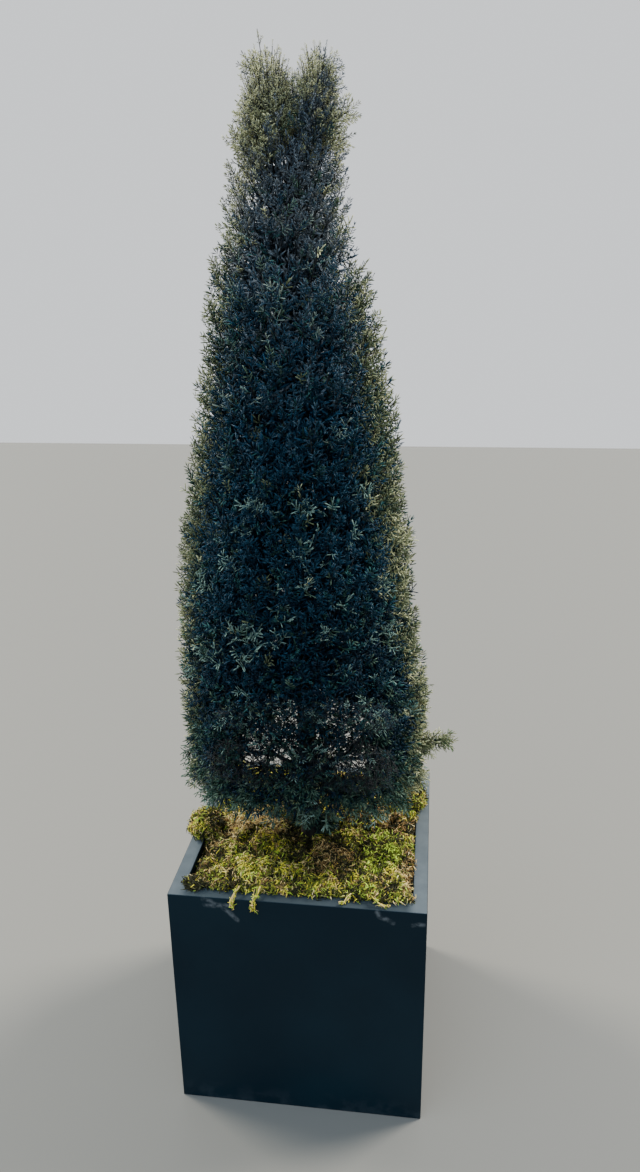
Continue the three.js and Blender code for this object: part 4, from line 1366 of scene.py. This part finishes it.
def strandParts(base, normal, rng, tones):
    count = len(base)
    clumps = [mossClump(*place[:2]) for place in base]
    away = np.array([[*out, 0.0] for _, out in clumps])
    share = np.clip(np.array([distance for distance, _ in clumps]) * 1.3, 0, 1)[:, None]
    loose = rng.normal(0, 1, (count, 3))
    heading = unit(normal * (1.0 - 0.5 * share) + 1.2 * share * unit(away) + 0.75 * loose)
    curl = unit(np.cross(heading, rng.normal(0, 1, (count, 3))) - 0.25 * normal)
    size = (moss["strandLength"] * (0.5 + 0.8 * rng.random(count)))[:, None]
    middle = base + heading * size * 1.05
    tip = base + heading * size * 0.55 + curl * size * 0.85
    paths = curved(base - heading * 2, middle, tip, 3)
    thick = moss["strandRadius"] * np.array([0.9, 1.25, 0.5])[None] * (0.7 + 0.6 * rng.random(count))[:, None]
    points, triangles, _ = tubes(paths, thick)
    each = len(triangles) // count
    faces = np.repeat(tones[:, None], each, axis=1)
    faces[:, :each // 2 - 1] = olderAndShadeTones[tones][:, None]
    return points, triangles, faces.ravel()


def tonedTubes(paths, radii, sides, words, rng):  # tubes that each take one of some tones
    points, triangles, _ = tubes(paths, radii, sides)
    tones = rng.choice(mossNumbers(words), len(paths))
    return points, triangles, np.repeat(tones, len(triangles) // len(paths))


def hangingParts(rng):
    look = moss["hangingLook"]
    paths = []
    for line in np.repeat(np.array(moss["hanging"], float), look["tufts"], axis=0):
        paths.append(line + rng.normal(0, look["loose"], line.shape))
        paths[-1][:, 1] = np.minimum(paths[-1][:, 1], line[:, 1] + 0.5)
    paths = np.array(paths)
    thick = np.array(look["thick"])[None] * (0.8 + 0.4 * rng.random(len(paths)))[:, None]
    parts = [tonedTubes(paths, thick, 4, "Yellow Tan Green", rng)]
    tips = np.repeat(paths[:, 1:].reshape(-1, 3), look["tufts"], 0)
    tips += rng.normal(0, 1.5, tips.shape)
    ends = tips + rng.normal(0, 3.0, tips.shape) * [1, 0.4, 1]
    ends[:, 1] = np.minimum(ends[:, 1], tips[:, 1] + 0.5)
    fine = curved(tips, (tips + ends) / 2 + rng.normal(0, 2, tips.shape), ends, 3)
    parts.append(tonedTubes(fine, taper(len(tips), 3, 1.0, 0.4), 3, "Yellow Tan Bright", rng))
    return parts


def mossRoots(rng):  # where the tufts stand: over the mat, on the spills and along the front rim
    count = moss["tufts"]
    i = np.arange(count)
    x = mix(moss["left"] + 2, moss["right"] - 1, (i * evenAcross + 0.03 * rng.random(count)) % 1)
    y = mix(-moss["half"] + 2, moss["half"] - 2, (i * evenUp + 0.03 * rng.random(count)) % 1)
    z = np.array([rootHeight(*place) for place in zip(x, y)])
    step = 4.0
    slopeX = np.array([rootHeight(a + step, b) for a, b in zip(x, y)]) - z
    slopeY = np.array([rootHeight(a, b + step) for a, b in zip(x, y)]) - z
    base = [np.stack([x, y, z], axis=1)]
    normal = [unit(np.stack([-slopeX / step, -slopeY / step, np.ones(count)], axis=1))]
    for spill in moss["spills"]:
        more = int(300 * spill["size"][0] * spill["size"][1] / 1500)
        k = np.arange(more)
        up = mix(-0.25, 1.0, (k + 0.5) / more)
        flat = np.sqrt(1 - up ** 2)
        around = np.stack([np.cos(k * goldenTurn) * flat, np.sin(k * goldenTurn) * flat, up], axis=1)
        reach = around * (np.array(spill["size"]) - 7) * (0.85 + 0.2 * rng.random((more, 1)))
        skin = np.array(spill["at"]) + reach
        skin[:, 2] = np.maximum(skin[:, 2], 473)
        base.append(skin)
        normal.append(unit(around + [0, 0, 0.2]))
    edge = np.arange(moss["overRim"])
    x = mix(moss["left"] - 4, moss["right"] - 4, (edge * evenAcross) % 1)
    over = np.array([noise.noise(Vector((a * 0.035, 0.0, 9.0))) for a in x])
    y = -moss["half"] - 9 * rng.random(len(edge)) * smooth(-0.35, 0.3, over) + 3
    base.append(np.stack([x, y, 472 + 5 * rng.random(len(edge))], axis=1))
    normal.append(unit(np.array([[0, -0.5, 1]] * len(edge))))
    return np.concatenate(base), np.concatenate(normal)


def makeMossStrands():
    rng = np.random.default_rng(31)
    base, normal = mossRoots(rng)
    tuftTones = mossTones(base, rng)
    each = moss["strands"]
    base = np.repeat(base, each, 0) + rng.normal(0, 1.8, (len(base) * each, 3)) * [1, 1, 0.4]
    normal = np.repeat(normal, each, 0)
    tones = np.repeat(tuftTones, each)
    # painted shade: in the creases between clumps, strands turn to their darker tones and then to Dark
    crease = np.repeat([mossClump(*place[:2])[0] for place in base[::each]], each)
    tones = np.where(rng.random(len(tones)) < 0.75 * smooth(0.26, 0.54, crease), olderAndShadeTones[tones], tones)
    tones[rng.random(len(tones)) < 0.86 * smooth(0.42, 0.66, crease)] = mossNames.index("Dark")
    odd = rng.random(len(tones)) < 0.10
    tones[odd] = rng.integers(0, len(mossNames), odd.sum())
    finishes = [mossFinish("moss" + word, colour) for word, colour in moss["colours"].items()]
    for word, low, high in (("left", -300, -68), ("middle", -68, 66), ("right", 66, 300)):
        chosen = (base[:, 0] >= low) & (base[:, 0] < high)
        made = strandParts(base[chosen], normal[chosen], rng, tones[chosen])
        settle(joinedPiece("moss_strands_" + word, [made], finishes), mossNodes)
    settle(joinedPiece("moss_strands_hanging", hangingParts(rng), finishes), mossNodes)


def finishSoil():
    finish, tree, shader = newFinish("soilFinish", (0.02, 0.014, 0.01), 0.95)
    coordinates = objectCoordinates(tree)
    share = rangeNode(tree, noiseNode(tree, coordinates, 150.0, 6.0), 0.4, 0.65)
    colour = colourMix(tree, share, (0.010, 0.007, 0.005), (0.045, 0.032, 0.022))
    tree.links.new(colour, shader.inputs["Base Color"])
    addGrain(tree, shader, coordinates, 170.0, 0.004, 0.9)
    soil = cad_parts["soil"]
    soil.data.materials.clear()
    soil.data.materials.append(finish)


makeCamera()
makeStudio()
print("camera and studio are set")
makePlanter()
finishSoil()
print("planter and soil are made")
makeMossMat()
makeMossStrands()
print("moss is made")
makeTrunk()
print("trunk and leaders are made")
for level, tier in enumerate(tiers):
    growTier(level, tier)
for number, (plume, leader) in enumerate(zip(plumes, leaders)):
    growPlume(number, plume, leader)
growFoot()
print("crown is grown")

corners = {"cad": cadBox, "visual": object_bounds()}
{word: [list(corner) for corner in box] for word, box in corners.items()}
